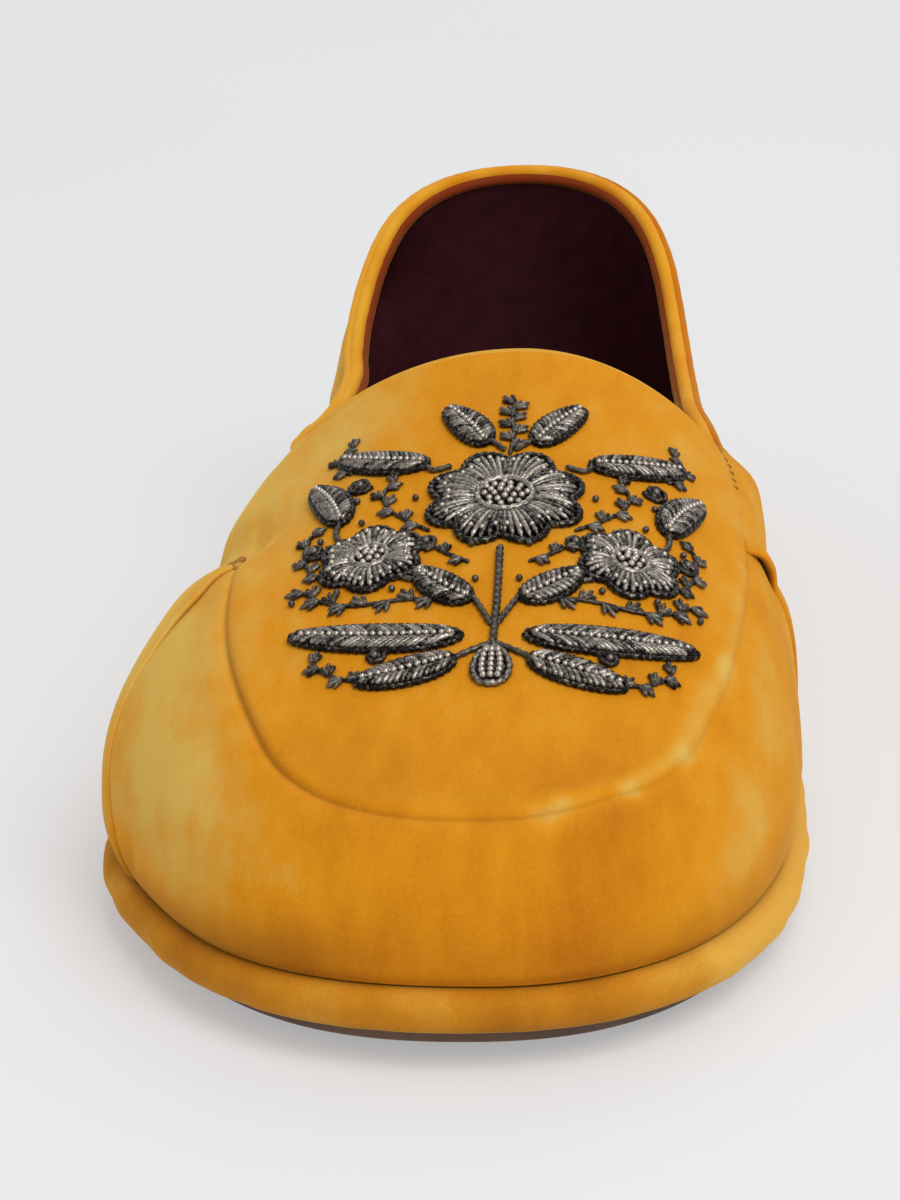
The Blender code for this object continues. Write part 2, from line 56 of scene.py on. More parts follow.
# The last and the sole, as in the solids, apart from the throat's bow, the quarters' step and lean, and
# the notch's flare, which are finer here or differ from side to side
LENGTH = 0.287
BALL_WIDTH = 0.111
INSTEP_HEIGHT = 0.065
BACK_HEIGHT = 0.0605
THROAT_AT = 0.458
THROAT_BOW = 0.004
OUTSOLE_THICKNESS = 0.0025
OUTSOLE_INSET = 0.0035
OUTSOLE_BEVEL = 0.0006
HEEL_LIFT = 0.004
BAND_HEIGHT = 0.0075
BAND_OVERHANG = 0.0027
TOE_SPRING = 0.003
INSOLE_THICKNESS = 0.003
TOE_SPRING_AT = 0.25
WAIST_AT = 0.54
HEEL_BREAST_AT = 0.735
BREAST_STEP = 0.0035
WALL = 0.0024
QUARTER_STEP = 0.0006
NOTCH_FLARE = {"outer": 0.0006, "inner": 0.0015}
QUARTER_LEAN = {"outer": 0.15, "inner": -0.04}
GAP = 0.0003
SPRAY_AT = 0.285
SPRAY_LENGTH = 0.080

# The photograph's camera: its angles round the shoe, its distance and what it looks at
CAMERA_YAW = 3.98
CAMERA_ELEVATION = 19.03
CAMERA_ROLL = -1.83
CAMERA_DISTANCE = 0.679
CAMERA_AIM = (-0.0046, 0.0, 0.0254)
CAMERA_LENS = 109.7


def table(names, *rows):
    """The columns of a table by name, from one row for each section."""
    return dict(zip(names.split(), np.array(rows, float).T))


OUTLINE = table(
    "at     middle  outer  inner",
    (0.00, 0.016, 0.500, 0.458),
    (0.12, 0.012, 0.519, 0.466),
    (0.24, 0.002, 0.547, 0.475),
    (0.34, 0.010, 0.528, 0.468),
    (0.45, 0.016, 0.484, 0.451),
    (0.58, 0.014, 0.405, 0.382),
    (0.70, 0.013, 0.350, 0.344),
    (0.82, 0.013, 0.317, 0.319),
    (1.00, 0.013, 0.304, 0.306),
)
TOE_SPAN, TOE_FULLNESS = 0.27, 2.28
HEEL_SPAN, HEEL_FULLNESS = 0.16, 2.2
RIDGE = table(
    "at     shift  height",
    (0.06, 0.045, 0.415),
    (0.13, 0.042, 0.508),
    (0.22, 0.043, 0.658),
    (0.32, 0.048, 0.800),
    (0.42, 0.055, 0.922),
    (0.50, 0.054, 1.048),
    (0.60, 0.044, 1.235),
    (0.72, 0.022, 1.395),
    (0.85, 0.002, 1.455),
    (0.95, 0.000, 1.455),
)
RIDGE_TOE, RIDGE_HEEL, RIDGE_BLEND = 0.11, 0.86, 0.035
SECTION = table(
    "at    rise   outer_bulge  inner_bulge  crown",
    (0.00, 0.80, 0.010, 0.010, 0.62),
    (0.12, 0.78, 0.062, 0.025, 0.57),
    (0.30, 0.72, 0.078, 0.075, 0.54),
    (0.42, 0.69, 0.032, 0.068, 0.56),
    (0.55, 0.64, 0.000, 0.036, 0.56),
    (0.70, 0.59, 0.010, 0.018, 0.52),
    (0.85, 0.55, 0.044, 0.032, 0.56),
    (1.00, 0.53, 0.040, 0.040, 0.65),
)
TOPLINE = table(
    "at     outer  inner",
    (0.45, 0.752, 0.715),
    (0.53, 0.646, 0.640),
    (0.60, 0.565, 0.596),
    (0.70, 0.512, 0.535),
    (0.80, 0.595, 0.634),
    (0.92, 0.908, 0.902),
    (1.00, 1.000, 1.000),
)
SEAM = table(
    "at     outer  inner",
    (0.00, 0.605, 0.605),
    (0.04, 0.585, 0.580),
    (0.08, 0.583, 0.528),
    (0.13, 0.578, 0.492),
    (0.18, 0.565, 0.467),
    (0.24, 0.550, 0.450),
    (0.31, 0.530, 0.430),
    (0.38, 0.520, 0.432),
    (0.47, 0.520, 0.460),
)
SEAM_TO_THROAT = 0.10
QUARTER_FRONT = {"outer": 0.310, "inner": 0.355}
POCKET_FADE = 0.06
QUARTER_FADE = 0.20
LEAN_SPAN = 0.62
COLLAR_LEAN = {"outer": 0.0034, "inner": 0.0013}
COLLAR_AT, COLLAR_SPAN = {"outer": 0.69, "inner": 0.60}, 0.14
COLLAR_BLEND = 0.07
BOW_SPAN = 0.14
POCKET_OPENS, POCKET_CLOSES = (0.66, 0.84), (0.90, 1.02)
CHART_FROM = 0.08

# How the apron seam looks along each side: depth of its groove and height of its crushed rim, in mm
SEAM_LOOK = table(
    "at     outer_groove  outer_rim  inner_groove  inner_rim",
    (0.00, 0.35, 0.15, 0.35, 0.20),
    (0.04, 0.50, 0.15, 0.28, 0.35),
    (0.12, 0.80, 0.15, 0.15, 0.50),
    (0.22, 0.65, 0.12, 0.15, 0.55),
    (0.30, 0.35, 0.10, 0.20, 0.40),
    (0.34, 0.00, 0.00, 0.20, 0.15),
    (0.40, 0.00, 0.00, 0.00, 0.00),
    (0.46, 0.00, 0.00, 0.00, 0.00),
)
BAND_EDGE = table(
    "height  reach",
    (0.00, -0.60),
    (0.04, 0.05),
    (0.13, 0.50),
    (0.28, 0.82),
    (0.42, 0.97),
    (0.56, 1.00),
    (0.70, 0.90),
    (0.84, 0.62),
    (0.94, 0.20),
    (1.00, -0.30),
)

LEAVES = (
    # name, across, up, turn, length, bend
    ("foot_leaf", 0.075, -0.431, -14, 0.200, 0.15),
    ("low_leaf", 0.065, -0.362, 9, 0.356, 0.20),
    ("inner_leaf", 0.056, -0.250, 44, 0.156, 0.10),
    ("side_leaf", 0.344, 0.075, 66, 0.200, -0.18),
    ("high_leaf", 0.175, 0.250, 28, 0.231, 0.20),
    ("crest_leaf", 0.056, 0.312, 60, 0.181, -0.15),
)
LEAF_WIDTH = 0.0825
LEAF_TAPER = 0.25
FLOWER = {"across": 0.0, "up": 0.106, "radius": 0.169, "petals": 8}
BLOSSOM = {"across": 0.269, "up": -0.081, "radius": 0.110, "petals": 6}
PETAL_DIP = 0.20
BUD = ("bud", 0.0, -0.512, 90, 0.112, 0.0)


def curve(columns, name, at):
    """A smooth curve through one column: cubics whose slopes average those of both neighbours."""
    x, y = columns["at"], columns[name]
    step = np.diff(x)
    rate = np.diff(y) / step
    slope = np.empty_like(y)
    slope[1:-1] = (rate[:-1] * step[1:] + rate[1:] * step[:-1]) / (step[:-1] + step[1:])
    slope[0] = 1.5 * rate[0] - 0.5 * slope[1]
    slope[-1] = 1.5 * rate[-1] - 0.5 * slope[-2]
    at = np.clip(np.asarray(at, float), x[0], x[-1])
    i = np.clip(np.searchsorted(x, at, side="right") - 1, 0, len(x) - 2)
    t = (at - x[i]) / step[i]
    rise = y[i] * (1 + 2 * t) * (1 - t) ** 2 + y[i + 1] * t * t * (3 - 2 * t)
    return rise + step[i] * (slope[i] * t * (1 - t) ** 2 + slope[i + 1] * t * t * (t - 1))


def ease(low, high, value):
    """0 below low, 1 above high, and a smooth step between."""
    t = np.clip((value - low) / (high - low), 0.0, 1.0)
    return t * t * (3 - 2 * t)


def bell(value, width):
    """1 at zero, falling away on both sides as exp of minus the square of value over width."""
    return np.exp(-((value / width) ** 2))


def station(turn):
    """Share of the length at a turn round the last: 0 at the toe, pi at the heel, outer side first."""
    return (1 - np.cos(turn)) / 2


def turn_at(at, outer=True):
    """The turn at a station, on one side of the shoe."""
    turn = np.arccos(1 - 2 * np.asarray(at, float))
    return turn if outer else 2 * np.pi - turn


def is_outer(turn):
    """Whether a turn lies on the outer side, where its sine isn't negative."""
    return np.sin(turn) >= 0


def of_side(values, turn):
    """The value for the side of the shoe on which each turn lies."""
    return np.where(is_outer(turn), values["outer"], values["inner"])


def by_side(columns, outer, inner, turn, at):
    """The curve for the side of the shoe on which each turn lies."""
    return np.where(is_outer(turn), curve(columns, outer, at), curve(columns, inner, at))


def rounding(distance, span, fullness):
    """Half width of a superellipse end, as a share, at a distance from its tip."""
    left = 1 - np.clip(distance / span, 0, 1)
    return np.maximum(1 - left**fullness, 0) ** (1 / fullness)


def heel_rise(y):
    """How far the foot bed is lifted above the forefoot's, over the heel and at the toe."""
    at = y / LENGTH + 0.5
    toe = TOE_SPRING * np.maximum(1 - at / TOE_SPRING_AT, 0) ** 2
    return HEEL_LIFT * ease(WAIST_AT, HEEL_BREAST_AT, at) + toe


def band_base(y):
    """Height of the band's underside: the outsole, a hair's gap and the foot bed's lift."""
    return OUTSOLE_THICKNESS + GAP + heel_rise(y)


def feather_height(y):
    """Height of the feather line, at the band's top."""
    return band_base(y) + BAND_HEIGHT


def outline(turn, grow=0.0):
    """The feather line in plan, or a line grown outwards from it: superellipse ends on the table."""
    turn = np.asarray(turn, float)

    def base(angle):
        """The middle, less or plus half the width, which both ends round off."""
        at = station(angle)
        ends = rounding(at, TOE_SPAN, TOE_FULLNESS) * rounding(1 - at, HEEL_SPAN, HEEL_FULLNESS)
        half = by_side(OUTLINE, "outer", "inner", angle, at) * BALL_WIDTH * ends
        x = curve(OUTLINE, "middle", at) * BALL_WIDTH + np.where(is_outer(angle), -half, half)
        return np.stack([x, (at - 0.5) * LENGTH], -1)

    along = base(turn + 0.02) - base(turn - 0.02)
    along /= np.linalg.norm(along, axis=-1, keepdims=True)
    outwards = np.stack([along[..., 1], -along[..., 0]], -1)
    return base(turn) - outwards * np.asarray(grow)[..., None]


def ridge_station(at):
    """The station kept clear of both tips, so that the columns fan round the toe and the heel."""
    at = 0.5 * (at + RIDGE_TOE + np.sqrt((at - RIDGE_TOE) ** 2 + RIDGE_BLEND**2))
    return 0.5 * (at + RIDGE_HEEL - np.sqrt((at - RIDGE_HEEL) ** 2 + RIDGE_BLEND**2))


def ridge_point(at):
    """The ridge at a station: shifted sideways and raised over the band as its table says."""
    base = OUTSOLE_THICKNESS + GAP + BAND_HEIGHT
    x = curve(RIDGE, "shift", at) * BALL_WIDTH
    z = base + curve(RIDGE, "height", at) * INSTEP_HEIGHT
    return np.stack([x, (at - 0.5) * LENGTH, z], -1)


def last_point(turn, way):
    """The last's surface: a cubic half section, from the feather line (way 0) to the ridge (way 1)."""
    turn, way = np.broadcast_arrays(np.asarray(turn, float), np.asarray(way, float))
    at = station(turn)
    foot = outline(turn)
    foot_z = feather_height(foot[..., 1]) + GAP
    ridge_at = ridge_station(at)
    top = ridge_point(ridge_at)
    climb = ridge_point(ridge_at + 0.001) - ridge_point(ridge_at - 0.001)
    slope = climb[..., 2] / climb[..., 1]
    inwards = top[..., :2] - foot
    reach = np.linalg.norm(inwards, axis=-1)
    inwards = inwards / reach[..., None]
    bulge = by_side(SECTION, "outer_bulge", "inner_bulge", turn, at) * BALL_WIDTH
    flat = curve(SECTION, "crown", at) * reach
    wall = foot - inwards * bulge[..., None]
    wall_z = foot_z + (top[..., 2] - foot_z) * curve(SECTION, "rise", at)
    crown = top[..., :2] - inwards * flat[..., None]
    crown_z = top[..., 2] - slope * inwards[..., 1] * flat
    low = np.concatenate([foot, foot_z[..., None]], -1)
    second = np.concatenate([wall, wall_z[..., None]], -1)
    third = np.concatenate([crown, crown_z[..., None]], -1)
    t = way[..., None]
    return low * (1 - t) ** 3 + 3 * second * (1 - t) ** 2 * t + 3 * third * (1 - t) * t**2 + top * t**3


def last_normal(turn, way):
    """The outward normal of the last's surface, from small steps both ways along it."""
    turn, way = np.broadcast_arrays(np.asarray(turn, float), np.clip(way, 0.004, 0.985))
    across = last_point(turn + 0.004, way) - last_point(turn - 0.004, way)
    upwards = last_point(turn, way + 0.003) - last_point(turn, way - 0.003)
    normal = np.cross(upwards, across)
    return normal / np.linalg.norm(normal, axis=-1, keepdims=True)


def interpolate_rows(goal, x, y):
    """For each row, y at the goals by straight lines between its own rising x values."""
    k = np.clip((x[:, None, :] <= goal[:, :, None]).sum(-1) - 1, 0, x.shape[1] - 2)
    low, high = np.take_along_axis(x, k, 1), np.take_along_axis(x, k + 1, 1)
    share = np.clip((goal - low) / np.maximum(high - low, 1e-12), 0, 1)
    return y[k] + (y[k + 1] - y[k]) * share


def way_at_height(turn, height):
    """How far up each half section a height above the feather line is reached."""
    ways = np.linspace(0, 1, 161)
    points = last_point(turn[:, None], ways[None, :])
    goal = feather_height(points[:, :1, 1]) + height[:, None]
    return interpolate_rows(goal, points[..., 2], ways)[:, 0]


def wall_top(turn):
    """Where the wall ends: on the apron seam in front of the throat, on the topline behind it."""
    at = station(turn)
    behind = np.maximum(at, THROAT_AT)
    whole = INSTEP_HEIGHT + (BACK_HEIGHT - INSTEP_HEIGHT) * ease(THROAT_AT, 1, behind)
    height = by_side(TOPLINE, "outer", "inner", turn, behind) * whole
    behind_turn = np.arccos(1 - 2 * behind)
    topline = way_at_height(np.where(is_outer(turn), behind_turn, -behind_turn), height)
    seam = by_side(SEAM, "outer", "inner", turn, at)
    at_throat = by_side(SEAM, "outer", "inner", turn, np.full_like(at, THROAT_AT))
    closing = ease(THROAT_AT - SEAM_TO_THROAT, THROAT_AT, at)
    return np.where(at < THROAT_AT, seam + (topline - at_throat) * closing, topline)


def base_skin(turns, rows):
    """Points and normals of the upper without its relief, on a grid of columns and rows, with the
    turns, stations and rows of the grid. The wall's columns lean along the shoe on their way down, and
    its top leans inwards round the collar."""
    turn = np.repeat(turns[:, None], len(rows), axis=1)
    row = np.repeat(np.asarray(rows)[None, :], len(turns), axis=0)
    at = station(turn)
    lean = of_side(QUARTER_LEAN, turn) * np.sin(np.pi * np.clip(at / LEAN_SPAN, 0, 1)) ** 2
    lean = lean * np.clip(1 - row, 0, 1)
    bow = THROAT_BOW / LENGTH * ease(THROAT_AT - BOW_SPAN, THROAT_AT, at)
    moved = at - lean + bow * np.sin(np.pi / 2 * np.clip(row - 1, 0, 1))
    leaned = np.arccos(np.clip(1 - 2 * moved, -1, 1))
    leaned = np.where(is_outer(turn), leaned, 2 * np.pi - leaned)
    leaned = np.where(moved == at, turn, leaned)
    top = np.repeat(wall_top(turns)[:, None], len(rows), axis=1)
    way = np.where(row <= 1, row * top, top + (row - 1) * (1 - top))
    normals = last_normal(leaned, way)
    inwards = normals * (1.0, 1.0, 0.0)
    inwards /= np.linalg.norm(inwards, axis=-1, keepdims=True)
    reach = of_side(COLLAR_LEAN, turn) * ease(THROAT_AT, THROAT_AT + COLLAR_BLEND, at)
    reach = reach * bell(at - of_side(COLLAR_AT, turn), COLLAR_SPAN) * ease(0.45, 1.0, row) ** 3
    return last_point(leaned, way) - inwards * reach[..., None], normals, turn, at, row


def lengths_up(points):
    """Distance along each column of a grid from its first row."""
    steps = np.linalg.norm(np.diff(points, axis=1), axis=2)
    return np.concatenate([np.zeros((len(points), 1)), np.cumsum(steps, axis=1)], axis=1)


def spread(start, end, count, dense=(), width=0.03, boost=6.0):
    """Values from start to end, closer together near the dense ones: equal shares of the running
    sum of one plus a bell at each dense value."""
    fine = np.linspace(start, end, 4000)
    weight = 1 + boost * sum((bell(fine - value, width) for value in dense), np.zeros_like(fine))
    share = np.concatenate([[0], np.cumsum((weight[1:] + weight[:-1]) / 2)])
    return np.interp(np.linspace(0, share[-1], count), share, fine)


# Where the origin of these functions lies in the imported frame
band_low, band_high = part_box("sole_band")
rim = outline(np.linspace(0, 2 * np.pi, 720), BAND_OVERHANG)
SHIFT = np.array([
    (band_low.x + band_high.x - rim[:, 0].min() - rim[:, 0].max()) / 2,
    (band_low.y + band_high.y - rim[:, 1].min() - rim[:, 1].max()) / 2,
    0.0,
])


def grid_quads(columns, rows, closed=False):
    """Quads between neighbouring columns and rows of points numbered column by column."""
    i = np.arange(columns if closed else columns - 1)
    k = np.arange(rows - 1)
    low = (i[:, None] * rows + k[None, :]).ravel()
    next_low = (((i + 1) % columns)[:, None] * rows + k[None, :]).ravel()
    return np.stack([low, low + 1, next_low + 1, next_low], -1)


def make_piece(name, vertices, quads, material, replaces=(), attributes=None, merge=0.0):
    """One smooth mesh of the shoe from arrays of vertices and quads, riding on the shoe's body."""
    mesh = bpy.data.meshes.new(name)
    vertices = np.asarray(vertices, float).reshape(-1, 3) + SHIFT
    mesh.vertices.add(len(vertices))
    mesh.vertices.foreach_set("co", vertices.astype(np.float32).ravel())
    mesh.loops.add(quads.size)
    mesh.loops.foreach_set("vertex_index", quads.astype(np.int32).ravel())
    mesh.polygons.add(len(quads))
    mesh.polygons.foreach_set("loop_start", np.arange(0, quads.size, 4, dtype=np.int32))
    mesh.update(calc_edges=True)
    for label, values in (attributes or {}).items():
        layer = mesh.attributes.new(label, "FLOAT", "POINT")
        layer.data.foreach_set("value", np.asarray(values, np.float32).ravel())
    if merge:
        body = bmesh.new()
        body.from_mesh(mesh)
        bmesh.ops.remove_doubles(body, verts=body.verts, dist=merge)
        bmesh.ops.dissolve_degenerate(body, edges=body.edges, dist=merge)
        body.to_mesh(mesh)
        body.free()
    mesh.shade_smooth()
    mesh.validate()
    mesh.materials.append(material)
    obj = bpy.data.objects.new(name, mesh)
    bpy.context.scene.collection.objects.link(obj)
    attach(obj, "root")
    if replaces:
        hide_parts(*replaces)


# Materials


def new_material(name, **settings):
    """A material with a Principled shader whose sockets take the given constants."""
    made = bpy.data.materials.new(name)
    made.use_nodes = True
    tree = made.node_tree
    shader = tree.nodes["Principled BSDF"]
    for socket, value in settings.items():
        shader.inputs[socket.replace("_", " ")].default_value = value
    return made, tree, shader


def node(tree, kind, inputs=(), **settings):
    """A node of one kind, with its settings, whose inputs take numbers or other nodes' outputs."""
    made = tree.nodes.new(kind)
    for key, value in settings.items():
        setattr(made, key, value)
    for socket, value in dict(inputs).items():
        if isinstance(value, bpy.types.NodeSocket):
            tree.links.new(value, made.inputs[socket])
        else:
            made.inputs[socket].default_value = value
    return made


def maths(tree, operation, *values):
    """The output of a Math node on numbers or outputs."""
    return node(tree, "ShaderNodeMath", enumerate(values), operation=operation).outputs[0]


def noise(tree, scale, detail=2.0, stretch=(1, 1, 1), roughness=0.5):
    """Noise on the object's own coordinates, stretched along the axes."""
    place = node(tree, "ShaderNodeTexCoord").outputs["Object"]
    mapped = node(tree, "ShaderNodeMapping", {"Vector": place, "Scale": stretch})
    settings = {"Vector": mapped.outputs[0], "Scale": scale, "Detail": detail, "Roughness": roughness}
    return node(tree, "ShaderNodeTexNoise", settings).outputs["Fac"]


def ramp(tree, value, *stops):
    """Colours along a value, from (position, colour) stops."""
    made = node(tree, "ShaderNodeValToRGB", {"Fac": value})
    elements = made.color_ramp.elements
    while len(elements) < len(stops):
        elements.new(0.5)
    for element, (position, colour) in zip(elements, stops):
        element.position = position
        element.color = (*colour, 1.0)
    return made.outputs["Color"]


def attribute(tree, label):
    """The value of a mesh attribute of the piece."""
    return node(tree, "ShaderNodeAttribute", attribute_name=label).outputs["Fac"]


def linear(red, green, blue):
    """Linear values of a colour given as 0 to 255 on a screen."""
    shares = np.array([red, green, blue]) / 255
    return tuple(np.where(shares <= 0.04045, shares / 12.92, ((shares + 0.055) / 1.055) ** 2.4))


def make_velvet(name, deep, middle, pale, crease, bump=0.25):
    """Velvet: blotches and streaks of turned nap over a fine pile, mixed towards the crease colour by the
    crease attribute, which is painted shade in grooves, seams, under edges and along the band. Its colour
    runs from deep at 0 to pale at 1 of a sum: the nap attribute, which also carries painted sheen, light
    and shade, times an unevenness, plus a share of each layer of noise, less a constant."""
    made, tree, shader = new_material(
        name, Roughness=0.85, Specular_IOR_Level=0.15, Sheen_Weight=0.45, Sheen_Roughness=0.35,
        Sheen_Tint=(*linear(255, 208, 96), 1.0),
    )
    blotches = noise(tree, 36.0, 3.0)
    strokes = noise(tree, 95.0, 4.0, (1.0, 0.45, 1.3), 0.6)
    streaks = noise(tree, 260.0, 3.0, (1.0, 0.40, 0.30))
    pile = noise(tree, 1900.0, 2.0)
    uneven = node(tree, "ShaderNodeMapRange", {
        "Value": strokes, "From Min": 0.34, "From Max": 0.66, "To Min": 0.82, "To Max": 1.18,
    }).outputs[0]
    value = maths(tree, "MULTIPLY", attribute(tree, "nap_and_painted_light"), uneven)
    for layer, share in ((blotches, 0.34), (strokes, 0.48), (streaks, 0.38), (pile, 0.28)):
        value = maths(tree, "MULTIPLY_ADD", layer, share, value)
    value = maths(tree, "SUBTRACT", value, 0.24)
    body = ramp(tree, value, (0.0, deep), (0.5, middle), (1.0, pale))
    # Painted shade: the crease attribute mixes in the dark crease colour
    mixed = node(
        tree, "ShaderNodeMix", {"Factor": attribute(tree, "crease"), "A": body, "B": (*crease, 1.0)},
        data_type="RGBA",
    )
    tree.links.new(mixed.outputs["Result"], shader.inputs["Base Color"])
    height = maths(tree, "MULTIPLY_ADD", streaks, 0.6, pile)
    lumps = node(tree, "ShaderNodeBump", {"Strength": bump, "Distance": 0.0004, "Height": height})
    tree.links.new(lumps.outputs[0], shader.inputs["Normal"])
    return made


def make_lining(name, colour):
    """Dark lining: a close grain with slight shine."""
    made, tree, shader = new_material(name, Roughness=0.62, Specular_IOR_Level=0.25)
    body = ramp(
        tree, noise(tree, 220.0, 3.0),
        (0.3, tuple(np.array(colour) * 0.75)), (0.7, tuple(np.array(colour) * 1.25)),
    )
    tree.links.new(body, shader.inputs["Base Color"])
    lumps = node(tree, "ShaderNodeBump", {"Strength": 0.25, "Distance": 0.0002,
                                          "Height": noise(tree, 1800.0, 2.0)})
    tree.links.new(lumps.outputs[0], shader.inputs["Normal"])
    return made


def make_leather(name):
    """Sole leather: dark brown, with a fine grain and scuffed lighter patches."""
    made, tree, shader = new_material(name, Roughness=0.5, Specular_IOR_Level=0.4)
    value = maths(tree, "MULTIPLY_ADD", noise(tree, 60.0, 4.0), 0.7,
                  maths(tree, "MULTIPLY", noise(tree, 600.0, 3.0), 0.3))
    body = ramp(tree, value, (0.3, linear(78, 56, 42)), (0.7, linear(112, 84, 64)))
    tree.links.new(body, shader.inputs["Base Color"])
    lumps = node(tree, "ShaderNodeBump", {"Strength": 0.4, "Distance": 0.0003,
                                          "Height": noise(tree, 900.0, 4.0)})
    tree.links.new(lumps.outputs[0], shader.inputs["Normal"])
    return made


def make_thread(name, dark, light, roughness=0.34, metallic=0.85):
    """Thread or tarnished wire: each coil has its own tone, with bright and dark flecks along it."""
    made, tree, shader = new_material(name, Metallic=metallic, Roughness=roughness)
    flecks = noise(tree, 1300.0, 3.0, roughness=0.65)
    value = maths(tree, "MULTIPLY_ADD", flecks, 1.5, attribute(tree, "tone"))
    body = ramp(tree, maths(tree, "SUBTRACT", value, 0.80), (0.1, dark), (0.9, light))
    tree.links.new(body, shader.inputs["Base Color"])
    coils = node(tree, "ShaderNodeBump", {"Strength": 0.35, "Distance": 0.0001,
                                          "Height": noise(tree, 3200.0, 1.0)})
    tree.links.new(coils.outputs[0], shader.inputs["Normal"])
    return made


# Each velvet: deep nap, mustard, pale nap, and the crease colour of its painted shade
velvet = make_velvet(
    "velvet", linear(184, 104, 4), linear(218, 142, 16), linear(218, 176, 82), linear(104, 58, 6),
)
band_velvet = make_velvet(
    "band_velvet", linear(166, 96, 6), linear(200, 130, 24), linear(224, 168, 66), linear(96, 54, 8),
)
binding_velvet = make_velvet(
    "binding_velvet", linear(196, 100, 4), linear(220, 134, 14), linear(232, 166, 44),
    linear(112, 32, 14), bump=0.15,
)
lining = make_lining("lining", linear(66, 22, 28))
sole_leather = make_leather("outsole_leather")
silver = make_thread("silver_thread", linear(28, 26, 24), linear(202, 192, 180), 0.30)
dark_silver = make_thread("dark_silver_thread", linear(18, 16, 16), linear(128, 120, 110), 0.36)
tack_thread = make_thread(
    "tack_thread", linear(146, 96, 28), linear(186, 130, 54), roughness=0.8, metallic=0.0,
)


# The upper's skins


def seam_relief(d, at, turn):
    """Height of the skin at a distance d from the apron seam: a narrow groove, a crushed rim on the
    apron's side, both as the look table has them for that side, and a soft shoulder on each side."""
    groove = by_side(SEAM_LOOK, "outer_groove", "inner_groove", turn, at)
    rim = by_side(SEAM_LOOK, "outer_rim", "inner_rim", turn, at)
    shoulders = 0.35 * (bell(d - 3.2 * MM, 2.4 * MM) + 1.3 * bell(d + 4.0 * MM, 3.2 * MM))
    return MM * (-groove * bell(d, 0.9 * MM) + rim * bell(d - 1.6 * MM, 1.6 * MM) + shoulders)


def seam_painted_shade(d, at, turn):
    """How dark the painted shade in the apron seam's groove is at a distance d from its middle."""
    groove = by_side(SEAM_LOOK, "outer_groove", "inner_groove", turn, at)
    return 0.70 * np.clip(groove, 0, 1) * bell(d, 0.5 * MM)


def quarter_lift(at, row, turn):
    """How far the quarter stands off the vamp: a step that fades behind its front edge, and a flare
    at its top corner that opens the pocket."""
    start = of_side(QUARTER_FRONT, turn)
    lap = 1 - ease(start + POCKET_FADE, start + QUARTER_FADE, at)
    lap = lap * (1 - ease(start, start + 0.03, at) * ease(0.85, 1.0, row))
    lip = ease(*POCKET_OPENS, row) * (1 - ease(*POCKET_CLOSES, row))
    pocket = lip * (1 - ease(start, start + POCKET_FADE, at))
    return QUARTER_STEP * lap + of_side(NOTCH_FLARE, turn) * pocket


# Soft creases and swells: side, station and row of both ends, width and depth in mm. A positive
# depth lies below the skin.
CREASES = (
    ("outer", 0.285, 0.92, 0.275, 0.15, 3.0, 0.7),
    ("outer", 0.235, 0.70, 0.215, 0.25, 7.0, 0.5),
    ("outer", 0.340, 1.00, 0.450, 0.50, 7.0, 3.6),
    ("inner", 0.335, 0.85, 0.325, 0.25, 3.0, 0.5),
    ("inner", 0.250, 0.80, 0.230, 0.30, 6.0, 0.5),
    ("inner", 0.380, 0.80, 0.480, 0.35, 6.0, 2.2),
    ("inner", 0.500, 0.92, 0.470, 0.82, 6.0, -1.6),
    ("inner", 0.470, 1.00, 0.500, 1.00, 4.5, 1.0),
    ("outer", 0.490, 1.00, 0.510, 0.98, 6.0, 1.8),
    ("outer", 0.610, 0.84, 0.720, 0.74, 9.0, -2.1),
    ("outer", 0.790, 0.74, 0.910, 0.68, 10.0, -3.6),
    ("outer", 0.620, 0.75, 0.700, 0.20, 9.0, 0.7),
    ("inner", 0.630, 0.70, 0.720, 0.25, 9.0, 0.7),
)
# Nap turned pale (positive) or deep (negative): side, station and row of both ends, width in mm and
# strength
NAP_MARKS = (
    ("inner", 0.32, 1.03, 0.20, 1.03, 1.8, 0.22),
    ("inner", 0.21, 1.04, 0.12, 1.03, 2.2, 0.30),
    ("inner", 0.12, 1.03, 0.06, 1.02, 1.8, 0.30),
    ("inner", 0.06, 1.02, 0.01, 1.01, 2.4, 0.32),
    ("inner", 0.02, 0.99, 0.01, 0.90, 3.0, 0.30),
    ("inner", 0.26, 0.88, 0.13, 0.48, 5.0, 0.16),
    ("inner", 0.20, 0.60, 0.09, 0.28, 4.5, 0.12),
    ("inner", 0.12, 0.34, 0.03, 0.14, 5.0, 0.18),
    ("inner", 0.30, 0.60, 0.22, 0.30, 5.0, -0.18),
    ("outer", 0.26, 0.86, 0.12, 0.30, 8.0, 0.24),
    ("outer", 0.30, 0.80, 0.20, 0.42, 2.2, 0.28),
    ("outer", 0.16, 0.80, 0.07, 0.52, 3.0, 0.16),
    ("outer", 0.06, 0.60, 0.01, 0.30, 14.0, -0.22),
    ("inner", 0.02, 0.60, 0.01, 0.30, 14.0, -0.26),
    ("outer", 0.36, 1.10, 0.43, 1.40, 9.0, 0.18),
    ("inner", 0.38, 1.10, 0.44, 1.30, 7.0, 0.16),
    ("outer", 0.10, 1.10, 0.04, 1.40, 8.0, -0.12),
    ("inner", 0.10, 1.20, 0.04, 1.40, 8.0, -0.10),
    ("outer", 0.50, 0.85, 0.62, 0.40, 14.0, 0.20),
)


def mark_points(marks):
    """Both ends of each mark on the skin, from its side, stations and rows."""
    ends = []
    for side, at_a, row_a, at_b, row_b, *_ in marks:
        outer = side == "outer"
        for at, row in ((at_a, row_a), (at_b, row_b)):
            ends.append(base_skin(np.array([turn_at(at, outer)]), [row])[0][0, 0])
    return np.array(ends).reshape(-1, 2, 3)


crease_ends = mark_points(CREASES)
nap_ends = mark_points(NAP_MARKS)


